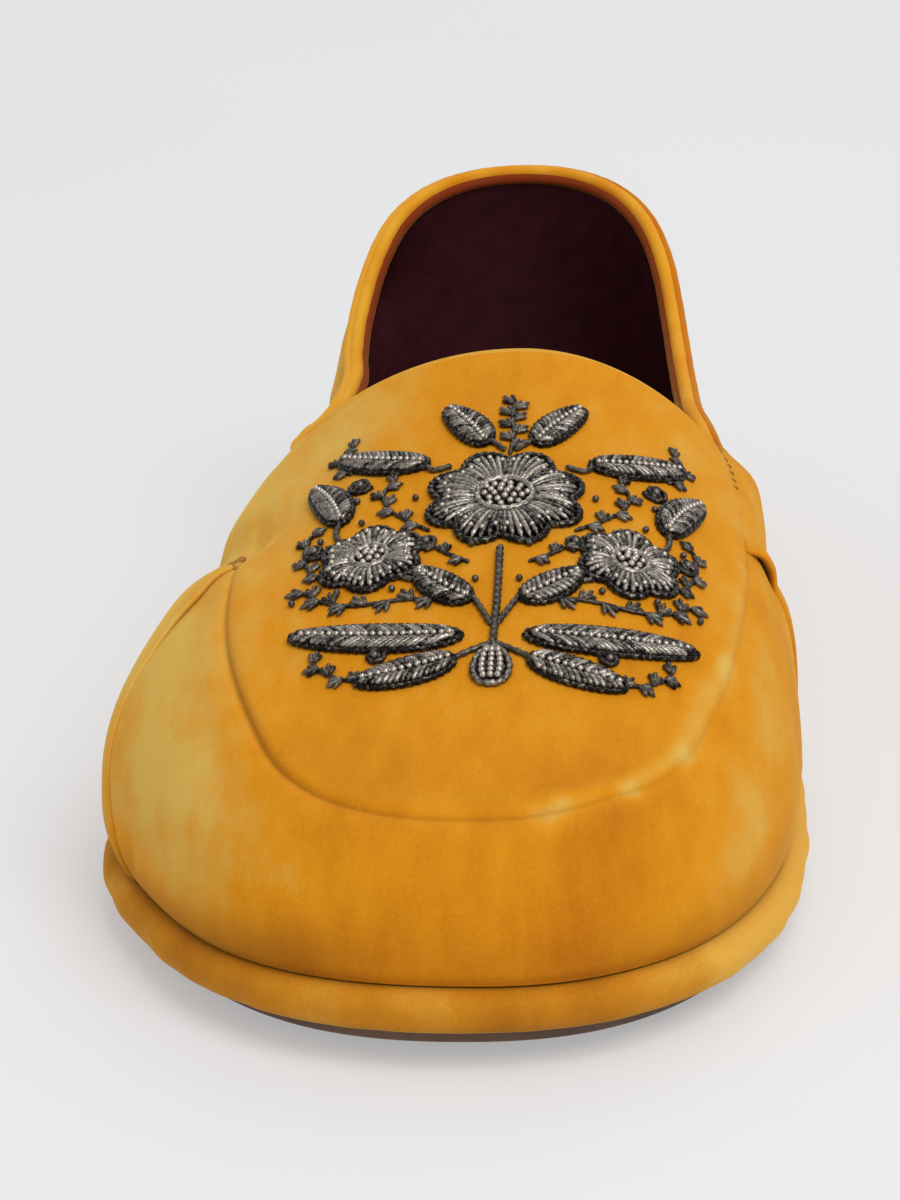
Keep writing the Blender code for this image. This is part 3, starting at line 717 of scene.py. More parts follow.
def marks_on(points, ends, marks, unit=1.0):
    """Sum of soft marks: each falls off with the distance from its straight line between two ends."""
    total = np.zeros(points.shape[:-1])
    for (a, b), (*_, width, strength) in zip(ends, marks):
        line = b - a
        share = np.clip(((points - a) @ line) / (line @ line), 0, 1)
        distance = np.linalg.norm(points - a - share[..., None] * line, axis=-1)
        total += strength * unit * bell(distance, width * MM)
    return total


# Swells of a hand-lasted skin: radians a metre along each axis, phase, and height in mm
SWELLS = (
    ((61, 43, 22), 0.3, 0.16),
    ((-47, 71, 35), 1.9, 0.13),
    ((128, -52, 60), 4.1, 0.07),
    ((-96, 133, 41), 2.6, 0.06),
    ((215, 96, -120), 0.9, 0.035),
    ((-160, 240, 90), 5.2, 0.03),
)


def dents(points):
    """Height of the slow swells: a sum of sine waves along slanted directions."""
    return sum(size * MM * np.sin(points @ np.array(direction) + phase)
               for direction, phase, size in SWELLS)


def sunk(points):
    """How far the soft creases press the skin inwards."""
    return marks_on(points, crease_ends, CREASES, MM)


def dress(points, normals, lift, feather_way):
    """Moves a skin by its relief, dents and creases, and works out how its nap lies, with painted light
    on
    it: painted sheen makes it pale where it faces the outer side, and painted shade makes it deeper low
    down, most on the outer side. Its height changes in full where feather_way is 1 or more and not at
    all at the feather line, which stays level."""
    push = normals * (lift + dents(points) - sunk(points))[..., None]
    push[..., 2] *= np.clip(feather_way, 0, 1)
    nap_and_painted_light = marks_on(points, nap_ends, NAP_MARKS)
    # Painted sheen where the skin faces the outer side, and painted shade low down
    outer_side = ease(0.05, 0.65, -normals[..., 0])
    low = 1 - ease(0.012, 0.030, points[..., 2])
    nap_and_painted_light = nap_and_painted_light + 0.36 * outer_side - (0.30 * outer_side + 0.15) * low
    return points + push, nap_and_painted_light - 0.03


# The painted shade along the band: a dark line, and the soft shade above it: its share on each side, and
# its height
GROOVE_LINE = 0.9 * MM
LOW_SHADE = {"outer": 0.42, "inner": 0.22}
LOW_SHADE_HEIGHT = 11 * MM


def wall_skin(turns, rows, lift_of):
    """A stretch of wall, its normals, nap and crease: lift_of gives its step over the last. It is drawn
    in at the band, full just above it, and its crease is painted shade in the seam and along the band."""
    points, normals, turn, at, row = base_skin(turns, rows)
    up = lengths_up(points)
    to_seam = up - up[:, np.abs(np.asarray(rows) - 1).argmin()][:, None]
    front = 1 - ease(THROAT_AT - 0.06, THROAT_AT + 0.01, at)
    tuck = MM * (-0.55 * bell(up, 1.3 * MM) + 0.40 * bell(up - 7 * MM, 5 * MM))
    lift = lift_of(at, row, turn) + seam_relief(to_seam, at, turn) * front + tuck
    moved, nap_and_painted_light = dress(points, normals, lift, up / (4 * MM))
    # Painted shade: a dark line along the band, a soft shade above it, and the seam's groove
    darkness = 0.20 + np.where(is_outer(turn), 0.45 * ease(0.02, 0.20, at), 0.20 * ease(0.05, 0.40, at))
    line = darkness * bell(up, GROOVE_LINE)
    shade = of_side(LOW_SHADE, turn) * ease(0.0, 0.02, at) * (1 - ease(0.0, LOW_SHADE_HEIGHT, up))
    crease = np.maximum(line + shade * (1 - line), seam_painted_shade(to_seam, at, turn) * front)
    return moved, normals, nap_and_painted_light, crease


WALL_ROWS = spread(0, 1, 112, dense=(0, 1), width=0.06, boost=3.0)
# How far the vamp runs on under each quarter, as a share of the length
UNDER = 0.045


def make_vamp():
    """The vamp's wall: round the toe from under one quarter to under the other."""
    end = turn_at(QUARTER_FRONT["outer"] + UNDER)
    start = turn_at(QUARTER_FRONT["inner"] + UNDER, outer=False) - 2 * np.pi
    turns = spread(start, end, 520)
    moved, _, nap_and_painted_light, crease = wall_skin(turns, WALL_ROWS, lambda at, row, turn: np.zeros_like(at))
    quads = grid_quads(*moved.shape[:2])
    make_piece("vamp", moved, quads, velvet, ("upper",), {"nap_and_painted_light": nap_and_painted_light, "crease": crease})


def make_apron():
    """The apron: from its seam all round the forefoot up to the ridge, and back to the throat."""
    end = turn_at(THROAT_AT)
    turns = spread(-end, end, 420)
    rows = 1 + spread(0, 1, 76, dense=(0,), width=0.08, boost=4.0)
    points, normals, turn, at, _ = base_skin(turns, rows)
    d = lengths_up(points)
    moved, nap_and_painted_light = dress(points, normals, seam_relief(d, at, turn), np.ones_like(d))
    quads = grid_quads(*moved.shape[:2])
    make_piece("apron", moved, quads, velvet, ("upper",),
               {"nap_and_painted_light": nap_and_painted_light, "crease": seam_painted_shade(d, at, turn)}, merge=MERGE)


# Radius of the quarters' turned edges, and depth of the seam down the back of the heel
ROLL = 0.0007
HEEL_SEAM_DEPTH = 0.0006


def make_quarters():
    """The quarters, from one front edge round the heel to the other. Their front and top edges turn
    in with a half round roll: outwards by the sine of its angle, and under by one less its cosine. A
    short flap runs on under each front edge."""
    first = turn_at(QUARTER_FRONT["outer"])
    last = turn_at(QUARTER_FRONT["inner"], outer=False)
    inside = spread(first, last, 620, dense=(first, last, np.pi), width=0.05, boost=3.0)
    angle = np.linspace(np.pi, 0, 9)[:-1]
    flap = np.linspace(UNDER * 0.7, 0, 6)[:-1]
    before = turn_at(QUARTER_FRONT["outer"] + flap)
    after = turn_at(QUARTER_FRONT["inner"] + flap, outer=False)
    turns = np.concatenate([before, np.full(len(angle), first), inside,
                            np.full(len(angle), last), after[::-1]])
    forward = np.concatenate([0 * flap, np.sin(angle), 0 * inside, np.sin(angle[::-1]), 0 * flap])
    turned = np.concatenate([0 * flap + 2, 1 - np.cos(angle), 0 * inside,
                             1 - np.cos(angle[::-1]), 0 * flap + 2])
    top_angle = np.linspace(0, np.pi, 8)[1:]
    rows = np.concatenate([WALL_ROWS, np.ones(len(top_angle))])
    over = np.concatenate([0 * WALL_ROWS, np.sin(top_angle)])
    dropped = np.concatenate([0 * WALL_ROWS, 1 - np.cos(top_angle)])
    moved, normals, nap_and_painted_light, crease = wall_skin(turns, rows, quarter_lift)
    upwards = np.gradient(moved[:, : len(WALL_ROWS)], axis=1)
    upwards = np.concatenate([upwards, np.repeat(upwards[:, -1:], len(top_angle), axis=1)], axis=1)
    upwards /= np.linalg.norm(upwards, axis=-1, keepdims=True)
    toewards = np.cross(normals, upwards)
    toewards *= -np.sign(toewards[..., 1:2])
    shape = np.maximum(turned[:, None], dropped[None, :])
    moved = moved + toewards * (forward * ROLL)[:, None, None]
    moved = moved + upwards * (over * ROLL)[None, :, None] - normals * (shape * ROLL)[..., None]
    heel_seam = bell((turns - np.pi) * 0.040, 0.7 * MM)[:, None]
    moved = moved - normals * (HEEL_SEAM_DEPTH * heel_seam)[..., None]
    # Painted shade: darker in the heel seam's groove and on the turned-under part of the edges
    inside_edge = ease(0.5, 1.5, shape)
    crease = np.clip(crease + 0.35 * heel_seam + 0.55 * inside_edge, 0, 1)
    quads = grid_quads(*moved.shape[:2])
    make_piece("quarters", moved, quads, velvet, ("upper",), {"nap_and_painted_light": nap_and_painted_light, "crease": crease})


def make_lining_skin():
    """The lining: the last's wall and apron, one wall's thickness further in, facing inwards."""
    points, normals, *_ = base_skin(spread(0, 2 * np.pi, 360), np.linspace(0, 1, 60))
    wall = points - normals * (WALL + 0.3 * dents(points * 1.7) + sunk(points))[..., None]
    quads = grid_quads(*wall.shape[:2])[:, ::-1]
    make_piece("wall_lining", wall, quads, lining, ("upper",), merge=MERGE)
    end = turn_at(THROAT_AT)
    points, normals, *_ = base_skin(spread(-end, end, 200), np.linspace(1, 2, 24))
    roof = points - normals * (WALL + sunk(points))[..., None]
    quads = grid_quads(*roof.shape[:2])[:, ::-1]
    make_piece("apron_lining", roof, quads, lining, ("upper",), merge=MERGE)


def tube_rings(path, normals, radius, sides, profile):
    """Rings of tubes on paths: each ring is radius times cosine along the side direction plus radius
    times sine along the normal, at every angle round it, and the profile scales it."""
    along = np.gradient(path, axis=-2)
    along /= np.linalg.norm(along, axis=-1, keepdims=True)
    side = np.cross(along, normals)
    side /= np.linalg.norm(side, axis=-1, keepdims=True)
    over = np.cross(side, along)
    angle = np.linspace(0, 2 * np.pi, sides, endpoint=False)
    size = np.broadcast_to(radius, path.shape[:-1])[..., None, None] * profile[..., None]
    ring = np.cos(angle)[:, None] * side[..., None, :] + np.sin(angle)[:, None] * over[..., None, :]
    return path[..., None, :] + size * ring


def ring_quads(paths, rings, sides):
    """Quads of tubes numbered path by path, ring by ring and side by side."""
    p = np.arange(paths)[:, None, None] * rings * sides
    m = np.arange(rings - 1)[None, :, None] * sides
    s = np.arange(sides)[None, None, :]
    t = (s + 1) % sides
    first, second = p + m + s, p + m + t
    return np.stack(np.broadcast_arrays(first, second, second + sides, first + sides), -1).reshape(-1, 4)


def closed_ends(m, sharpness):
    """Radius shares along a tube that close both of its ends: the root of one less a power of the
    distance from its middle, with a shorter nose the higher the power is."""
    t = np.linspace(-1, 1, m)
    return np.sqrt(np.maximum(1 - np.abs(t) ** sharpness, 1e-6))


# Where the binding starts and where it is full, as stations behind the throat
THROAT_TUCK = 0.012
BINDING_TAPER = 0.13


def topline_path(count):
    """The topline from one end of the throat to the other: its points, its normals, the way up from
    it, and how far the binding is from its ends, from 0 at the throat to 1 where it is full."""
    first = turn_at(THROAT_AT + THROAT_TUCK)
    last = turn_at(THROAT_AT + THROAT_TUCK, outer=False)
    turns = np.linspace(first, last, count)
    points, normals, *_ = base_skin(turns, [1.0])
    top, outwards = points[:, 0] - normals[:, 0] * sunk(points[:, 0])[:, None], normals[:, 0]
    along = np.gradient(top, axis=0)
    away = np.cross(outwards, along)
    away *= np.sign(away[:, 2:]) / np.linalg.norm(away, axis=-1, keepdims=True)
    return top, outwards, away, ease(THROAT_TUCK, BINDING_TAPER, station(turns) - THROAT_AT)


# The binding's three rolls: name, distances outwards and up from the wall's edge, radius, least share
# of the radius at the throat, nap, painted sheen added on the outer side, and crease, which is painted
# shade
BINDING_ROLLS = (
    ("binding_piping", 0.0006, 0.0017, 0.0010, 0.10, -0.15, 0.75, 0.20),
    ("binding_roll", -0.0009, 0.0022, 0.0014, 0.40, 0.30, 0.10, 0.00),
    ("binding_facing", -0.0024, 0.0014, 0.0011, 0.30, -0.50, 0.00, 0.85),
)
# How far the binding's ends sink and draw in at the throat
THROAT_SINK = 0.0026
THROAT_DRAW = 0.0024
BINDING_SIDES = 16


def make_binding():
    """The binding: a bright roll on the wall's edge between a thin piping outside and the turned
    facing inside, all thinner towards the throat, where they tuck under the apron."""
    m = 420
    top, outwards, away, full = topline_path(m)
    i = np.arange(m)
    gathers = 1 + 0.02 * np.sin(i * 0.9) + 0.015 * np.sin(i * 0.37 + 1)
    ends = closed_ends(m, 60)[:, None]
    angle = np.linspace(0, 2 * np.pi, BINDING_SIDES, endpoint=False)
    outer_side = ease(0.0, 0.8, -outwards[:, :1])
    quads = ring_quads(1, m, BINDING_SIDES)[:, ::-1]
    for name, out, up, radius, least, nap_and_painted_light, outer_painted_sheen, crease in BINDING_ROLLS:
        lift = up * full - THROAT_SINK * (1 - full) ** 2
        stand = out - THROAT_DRAW * (1 - full) ** 2
        path = top + outwards * stand[:, None] + away * lift[:, None]
        thickness = radius * gathers * (least + (1 - least) * full)
        rings = tube_rings(path, outwards, thickness, BINDING_SIDES, ends)
        # Painted sheen on the outer side, painted light on each roll's outward half and painted shade on
        # its inward half; the painted shade is weaker on the outer side
        ring_nap_and_light = nap_and_painted_light + outer_painted_sheen * outer_side + 0.08 * np.sin(i * 0.21)[:, None] + 0.10 * np.sin(angle)
        ring_painted_shade = crease * (1 - outer_side * min(outer_painted_sheen, 1)) + 0 * ring_nap_and_light
        make_piece(name, rings, quads, binding_velvet, ("binding",),
                   {"nap_and_painted_light": ring_nap_and_light, "crease": ring_painted_shade})


# The throat fold's radius, how far it is sunk into the apron's edge, and its sides
FOLD_RADIUS = 0.00095
FOLD_SINK = 0.0008
FOLD_SIDES = 12


def make_throat_fold():
    """The apron's folded rear edge: a thin roll across the throat."""
    rows = np.linspace(1, 2, 60)
    turn = np.array([turn_at(THROAT_AT), turn_at(THROAT_AT, outer=False)])
    points, normals, *_ = base_skin(turn, rows)
    path = np.concatenate([points[0], points[1, -2::-1]])
    outwards = np.concatenate([normals[0], normals[1, -2::-1]])
    path = path - outwards * (FOLD_SINK + sunk(path))[:, None]
    m = len(path)
    rings = tube_rings(path, outwards, FOLD_RADIUS, FOLD_SIDES, closed_ends(m, 40)[:, None])
    quads = ring_quads(1, m, FOLD_SIDES)[:, ::-1]
    make_piece("throat_fold", rings, quads, velvet, ("upper",),
               {"nap_and_painted_light": np.full((m, FOLD_SIDES), 0.25), "crease": np.zeros((m, FOLD_SIDES))})


# The sole


def spine_point(turn):
    """The line down the middle of the sole on which each layer's fill closes."""
    at = ridge_station(station(turn))
    return np.stack([curve(OUTLINE, "middle", at) * BALL_WIDTH, (at - 0.5) * LENGTH], -1)


# Shares of the way from a layer's edge to its spine at which the rings of its faces lie
FILLS = (0.15, 0.4, 0.7, 1.0)


def slab_rings(turns, edge, bottom, top):
    """Rings of a closed slab: bottom fill, edge rows of (grow, share of height), and top fill."""
    spine = spine_point(turns)

    def at_height(plan, height):
        """Points of a line in plan, at heights."""
        return np.concatenate([plan, height[..., None]], -1)

    def fill(grow, height):
        """Rings of one face: from its edge to the spine, at the fills' shares of the way."""
        start = outline(turns, grow)
        plans = [start + (spine - start) * step for step in FILLS]
        return [at_height(plan, height(plan[..., 1])) for plan in plans]

    rings = fill(edge[0][0], bottom)[::-1]
    for grow, share in edge:
        plan = outline(turns, grow)
        low, high = bottom(plan[..., 1]), top(plan[..., 1])
        rings.append(at_height(plan, low + (high - low) * share))
    return np.stack(rings + fill(edge[-1][0], top), 1)


# How far the gathers draw the band's edge in and out
GATHER = 0.00012


def make_sole_band():
    """The velvet-wrapped platform: a rounded edge all round, drawn in and out by a sum of sine waves.
    Its nap waves too. Painted light makes it pale along the inner side, fading behind the waist, and
    along its upper shoulder, and painted shade darkens its top edge and its underside."""
    turns = spread(0, 2 * np.pi, 901)[:-1]
    pull = GATHER * (np.sin(turns * 41) + np.sin(turns * 67 + 2) * 0.7 + np.sin(turns * 23 + 1))
    fine = np.linspace(0, 1, 22)
    knots = np.linspace(0, 1, len(BAND_EDGE["reach"]))
    share = np.interp(fine, knots, BAND_EDGE["height"])
    reach = np.interp(fine, knots, BAND_EDGE["reach"])
    edge = [(r * BAND_OVERHANG + pull * np.sin(np.pi * f), s) for r, s, f in zip(reach, share, fine)]
    rings = slab_rings(turns, edge, band_base, feather_height)
    edge_rows = slice(len(FILLS), len(FILLS) + len(fine))
    crease = np.zeros(rings.shape[:2])
    # Painted shade: darker at the top edge, by the groove, and on the underside
    crease[:, edge_rows] = 0.2 * ease(0.88, 1.0, fine) + 0.55 * (1 - ease(0.05, 0.40, fine))
    inner_side = 1 - is_outer(turns)[:, None]
    nap_and_painted_light = 0.12 * np.sin(turns * 9)[:, None] + 0.08 * np.sin(turns * 31)[:, None]
    at = station(turns)[:, None]
    # Painted light: paler along the inner side and along the upper shoulder
    lit_side = inner_side * ease(0.0, 0.12, at) * (1 - ease(0.55, 0.95, at))
    nap_and_painted_light = nap_and_painted_light + 0 * crease - 0.10 + 0.80 * lit_side
    nap_and_painted_light[:, edge_rows] += (0.06 + 0.24 * lit_side) * bell(fine - 0.78, 0.14)
    quads = grid_quads(*rings.shape[:2], closed=True)
    make_piece("velvet_band", rings, quads, band_velvet, ("sole_band",),
               {"nap_and_painted_light": nap_and_painted_light, "crease": crease}, merge=MERGE)


def make_outsole():
    """The leather outsole with its low heel, as the solid has it, on finer columns."""
    breast = (HEEL_BREAST_AT - BREAST_STEP, HEEL_BREAST_AT + BREAST_STEP)
    dense = [turn_at(at, outer) for at in breast for outer in (True, False)]
    turns = spread(0, 2 * np.pi, 721, dense, width=0.02)[:-1]

    def bottom(y):
        """The foot bed's lift in front of the heel's breast, and the floor behind it."""
        return heel_rise(y) * (1 - ease(*breast, y / LENGTH + 0.5))

    def top(y):
        """A gap below the band."""
        return band_base(y) - GAP

    inset = -OUTSOLE_INSET
    edge = [(inset - OUTSOLE_BEVEL, 0.0), (inset - 0.3 * OUTSOLE_BEVEL, 0.1), (inset, 0.3),
            (inset, 0.7), (inset, 1.0)]
    rings = slab_rings(turns, edge, bottom, top)
    quads = grid_quads(*rings.shape[:2], closed=True)
    make_piece("leather_outsole", rings, quads, sole_leather, ("outsole",),
               merge=MERGE)


def make_sock():
    """The sock lining on the foot bed, its upper edge drawn in a little, clear of the wall's lining."""
    turns = spread(0, 2 * np.pi, 361)[:-1]
    inset = -(WALL + 0.0001)

    def bottom(y):
        """A gap above the band."""
        return feather_height(y) + GAP

    def top(y):
        """One insole's thickness higher."""
        return bottom(y) + INSOLE_THICKNESS

    edge = [(inset, 0.0), (inset, 0.9), (inset - 0.0008, 1.0)]
    rings = slab_rings(turns, edge, bottom, top)
    quads = grid_quads(*rings.shape[:2], closed=True)
    make_piece("sock_lining", rings, quads, lining, ("insole",), merge=MERGE)


# The embroidered spray

# The chart's grid: distances up from the spray's centre and across from the ridge
CHART_UP = np.linspace(-0.056, 0.046, 205)
CHART_ACROSS = np.linspace(-0.046, 0.046, 185)
# Wires, beads and ropes: radii, how far apart bullions and beads lie, one turn of an edge's twist, and
# how high a pad is domed
BULLION = 0.00050
LEAFLET_BULLION = 0.00042
BULLION_SPACING = 0.00105
BEAD_SPACING = 0.0013
EDGE_PITCH = 0.0013
PAD_HEIGHT = 0.0006


def apron_chart():
    """Points and normals of the apron on an even grid of distances along its skin, up from the
    spray's centre and across from the ridge."""
    stations = np.linspace(CHART_FROM, THROAT_AT, 300)
    ridge = ridge_point(ridge_station(stations))
    length = np.concatenate([[0], np.cumsum(np.linalg.norm(np.diff(ridge, axis=0), axis=1))])
    at = np.interp(CHART_UP + np.interp(SPRAY_AT, stations, length), length, stations)
    ways = np.linspace(1.0, 0.45, 120)
    points, normals = [], []
    for outer in (True, False):
        turn = turn_at(at, outer)
        reach = lengths_up(last_point(turn[:, None], ways[None, :]))
        goal = np.repeat(CHART_ACROSS[CHART_ACROSS >= 0][None, :], len(turn), axis=0)
        way = interpolate_rows(goal, reach, ways)
        points.append(last_point(turn[:, None], way))
        normals.append(last_normal(turn[:, None], way))
    return [np.concatenate([outer[:, :0:-1], inner], axis=1) for outer, inner in (points, normals)]


chart_points, chart_normals = apron_chart()


def on_apron(across, up, lift):
    """Points and normals at places on the chart, by straight lines both ways between its grid."""
    i = np.clip((up - CHART_UP[0]) / (CHART_UP[1] - CHART_UP[0]), 0, len(CHART_UP) - 1.001)
    k = np.clip((across - CHART_ACROSS[0]) / (CHART_ACROSS[1] - CHART_ACROSS[0]), 0,
                len(CHART_ACROSS) - 1.001)
    i0, k0 = i.astype(int), k.astype(int)
    a, b = (i - i0)[..., None], (k - k0)[..., None]

    def blend(grid):
        """The grid's four nearest values, each weighted by how near it is both ways."""
        low = grid[i0, k0] * (1 - b) + grid[i0, k0 + 1] * b
        high = grid[i0 + 1, k0] * (1 - b) + grid[i0 + 1, k0 + 1] * b
        return low * (1 - a) + high * a

    normal = blend(chart_normals)
    normal = normal / np.linalg.norm(normal, axis=-1, keepdims=True)
    points = blend(chart_points)
    return points + normal * (np.asarray(lift) + dents(points))[..., None], normal


class Stitching:
    """Gathers wires, ropes, beads and pads of one embroidered piece into a single mesh."""

    def __init__(self, seed):
        self.vertices, self.quads, self.tones, self.count = [], [], [], 0
        self.random = np.random.default_rng(seed)

    def add(self, vertices, quads, tones):
        """Puts one grid of points, its quads and its tone with the rest."""
        self.vertices.append(vertices.reshape(-1, 3))
        self.quads.append(quads + self.count)
        self.tones.append(np.broadcast_to(tones, vertices.shape[:-1]).ravel())
        self.count += self.vertices[-1].shape[0]

    def bullions(self, start, end, radius, hump, lift=0.0, rings=13, sides=7, tone=0.5):
        """Short coiled wires from start to end, arched by a sine in between, ridged on every ring."""
        start, end = np.asarray(start, float), np.asarray(end, float)
        t = np.linspace(0, 1, rings)[None, :]
        across = start[:, :1] * (1 - t) + end[:, :1] * t
        up = start[:, 1:] * (1 - t) + end[:, 1:] * t
        arch = lift + radius * 0.7 + hump * np.sin(np.pi * t) ** 0.8
        path, normals = on_apron(across, up, arch + 0 * across)
        ridges = 1 + 0.15 * (-1.0) ** np.arange(rings)
        profile = (closed_ends(rings, 6) * ridges)[None, :, None] * np.ones((len(start), 1, 1))
        rings_at = tube_rings(path, normals, radius, sides, profile)
        tones = tone + 0.55 * (self.random.random((len(start), 1, 1)) - 0.5)
        self.add(rings_at, ring_quads(len(start), rings, sides)[:, ::-1], tones)

    def rope(self, across, up, radius, lift=0.0, pitch=0.0016, closed=False, tone=0.5):
        """A two-ply twisted cord along a line: its radius swells twice round and turns as it goes."""
        across, up = np.asarray(across, float), np.asarray(up, float)
        steps = np.hypot(np.diff(across), np.diff(up))
        length = np.concatenate([[0], np.cumsum(steps)])
        count = max(int(length[-1] / (pitch / 5)), 8)
        s = np.linspace(0, length[-1], count)
        across, up = np.interp(s, length, across), np.interp(s, length, up)
        path, normals = on_apron(across, up, lift + radius + 0 * s)
        sides = 10
        angle = np.linspace(0, 2 * np.pi, sides, endpoint=False)
        twist = 1 + 0.20 * np.cos(2 * angle[None, :] - 2 * np.pi * s[:, None] / pitch)
        ends = np.ones(count) if closed else closed_ends(count, 40)
        rings_at = tube_rings(path, normals, radius, sides, twist * ends[:, None])
        self.add(rings_at, ring_quads(1, count, sides)[:, ::-1], tone)

    def beads(self, across, up, radius, lift=0.0, tone=0.9):
        """Small round beads: rings of latitude from pole to pole at each place."""
        across, up = np.atleast_1d(across).astype(float), np.atleast_1d(up).astype(float)
        radius = np.broadcast_to(radius, across.shape)
        rings, sides = 7, 8
        tilt = np.linspace(-np.pi / 2, np.pi / 2, rings)
        centre, normals = on_apron(across, up, lift + radius)
        side = np.cross(normals, (0.0, 1.0, 0.0))
        side /= np.linalg.norm(side, axis=-1, keepdims=True)
        over = np.cross(normals, side)
        angle = np.linspace(0, 2 * np.pi, sides, endpoint=False)
        belt = np.cos(angle)[:, None] * side[:, None, None] + np.sin(angle)[:, None] * over[:, None, None]
        size = radius[:, None, None, None]
        belt = belt * np.maximum(np.cos(tilt), 0.02)[None, :, None, None]
        pole = normals[:, None, None, :] * np.sin(tilt)[None, :, None, None]
        points = centre[:, None, None, :] + size * (belt + pole)
        self.add(points, ring_quads(len(across), rings, sides)[:, ::-1], tone)

    def pad(self, across, up, height, tone=0.12):
        """A low domed pad inside a rim: loops shrink to its middle and rise by the root of the rest."""
        shares = np.linspace(1, 0, 6)
        middle = np.mean(across), np.mean(up)
        a = middle[0] + (across - middle[0])[:, None] * shares[None, :]
        u = middle[1] + (up - middle[1])[:, None] * shares[None, :]
        rise = 0.0001 + height * np.sqrt(1 - shares**2)
        points, _ = on_apron(a, u, rise[None, :] + 0 * a)
        self.add(points, grid_quads(*points.shape[:2], closed=True), tone)

    def finish(self, name, material, replaces=()):
        """Makes the piece of all that was stitched."""
        vertices = np.concatenate(self.vertices)
        quads = np.concatenate(self.quads)
        make_piece(name, vertices, quads, material, replaces,
                   {"tone": np.concatenate(self.tones)})


def leaf_place(leaf, t, v, side):
    """Places on a leaf at t along its stalk line and v from its middle to its edge."""
    _, across, up, turn, length, bend = leaf
    heading = np.radians(turn)
    half = LEAF_WIDTH * np.sqrt(np.clip(t * (1 - t), 0, None)) * (1 - LEAF_TAPER * t)
    sideways = v * half + bend * length * t * (t - 1)
    a = across + np.cos(heading) * t * length - np.sin(heading) * sideways
    u = up + np.sin(heading) * t * length + np.cos(heading) * sideways
    return a * side * SPRAY_LENGTH, u * SPRAY_LENGTH


def leaf_rim(leaf, side):
    """The line round a leaf's edge: out along one side of its stalk line and back along the other."""
    around = np.linspace(0, 2 * np.pi, 90)
    edge = np.where(np.sin(around) >= 0, 1.0, -1.0)
    return leaf_place(leaf, 0.5 - 0.5 * np.cos(around), edge, side)


def make_leaf(leaf, side, seed, node_name):
    """A leaf: slanted bullions on both sides of a beaded rib, within a roped edge."""
    work = Stitching(seed)
    angle = np.linspace(0, 2 * np.pi, 49)[:-1]
    work.pad(*leaf_place(leaf, 0.5 - 0.5 * np.cos(angle), np.sign(np.sin(angle)), side), PAD_HEIGHT)
    real = leaf[4] * SPRAY_LENGTH
    count = max(int(real / BULLION_SPACING), 6)
    t = np.linspace(0.03, 0.86, count)
    for edge in (-1, 1):
        start = np.stack(leaf_place(leaf, t, 0.06 * edge, side), -1)
        end = np.stack(leaf_place(leaf, np.minimum(t + 0.13, 0.97), 0.93 * edge, side), -1)
        work.bullions(start, end, BULLION, 0.0005, lift=0.0005, tone=0.40)
    line = np.linspace(0.06, 0.92, max(int(real / BEAD_SPACING), 6))
    work.beads(*leaf_place(leaf, line, 0 * line, side), 0.00050, lift=0.0011, tone=1.0)
    work.rope(*leaf_rim(leaf, side), 0.00056, pitch=EDGE_PITCH, closed=True, tone=0.12)
    work.finish(f"{node_name}_embroidery", silver, (node_name,))


# In radians
GOLDEN_ANGLE = 2.399963


def make_flower(name, across, up, radius, petals, side, seed):
    """A flower: bullions fan out in every petal, inside a roped rim, round a heap of beads. Its rim is
    at its radius in mid petal and dips between petals, and the beads lie on a spiral of golden angles."""
    work = Stitching(seed)
    real = radius * SPRAY_LENGTH
    middle = np.array([across * side, up]) * SPRAY_LENGTH

    def rim_radius(angle):
        """The flower's radius, which dips between petals by one less a sine of half their angle."""
        return real * (1 - PETAL_DIP + PETAL_DIP * np.abs(np.sin(petals * angle / 2)))

    angle = np.linspace(0, 2 * np.pi, 16 * petals + 1)
    rim = rim_radius(angle)
    a, u = middle[0] + rim * np.cos(angle), middle[1] + rim * np.sin(angle)
    work.pad(a[:-1], u[:-1], PAD_HEIGHT)
    heart = 0.34 * real
    count = int(2 * np.pi * real * 0.72 / BULLION_SPACING / petals) * petals
    spokes = (np.arange(count) + 0.5) * 2 * np.pi / count
    out = rim_radius(spokes) * 0.95
    way = np.stack([np.cos(spokes), np.sin(spokes)], -1)
    work.bullions(middle + heart * way, middle + out[:, None] * way, BULLION, 0.0007, lift=0.0004,
                  rings=17, tone=0.5)
    work.rope(a, u, 0.00060, pitch=EDGE_PITCH, closed=True, tone=0.15)
    dots = np.arange(4 * petals) * np.pi / (2 * petals) + np.pi / (4 * petals)
    inner_rim = 0.80 * rim_radius(dots)
    work.beads(middle[0] + inner_rim * np.cos(dots), middle[1] + inner_rim * np.sin(dots), 0.00048,
               lift=0.0012, tone=1.0)
    for k in range(petals):
        crease = k * 2 * np.pi / petals
        t = np.linspace(heart * 1.1, rim_radius(np.array(crease)), 20)
        work.rope(middle[0] + t * np.cos(crease), middle[1] + t * np.sin(crease), 0.00042, lift=0.0009,
                  tone=0.2)
    ring = np.linspace(0, 2 * np.pi, 60)
    work.rope(middle[0] + heart * np.cos(ring), middle[1] + heart * np.sin(ring), 0.00055, lift=0.0007,
              closed=True, tone=0.6)
    k = np.arange(int(18 * (real / 0.0135) ** 2) + 5)
    spiral = heart * 0.85 * np.sqrt((k + 0.3) / len(k))
    angle = k * GOLDEN_ANGLE
    work.beads(middle[0] + spiral * np.cos(angle), middle[1] + spiral * np.sin(angle), 0.00062,
               lift=0.0008 * (1 - spiral / heart) + 0.0004)
    work.finish(f"{name}_embroidery", silver, (name,))


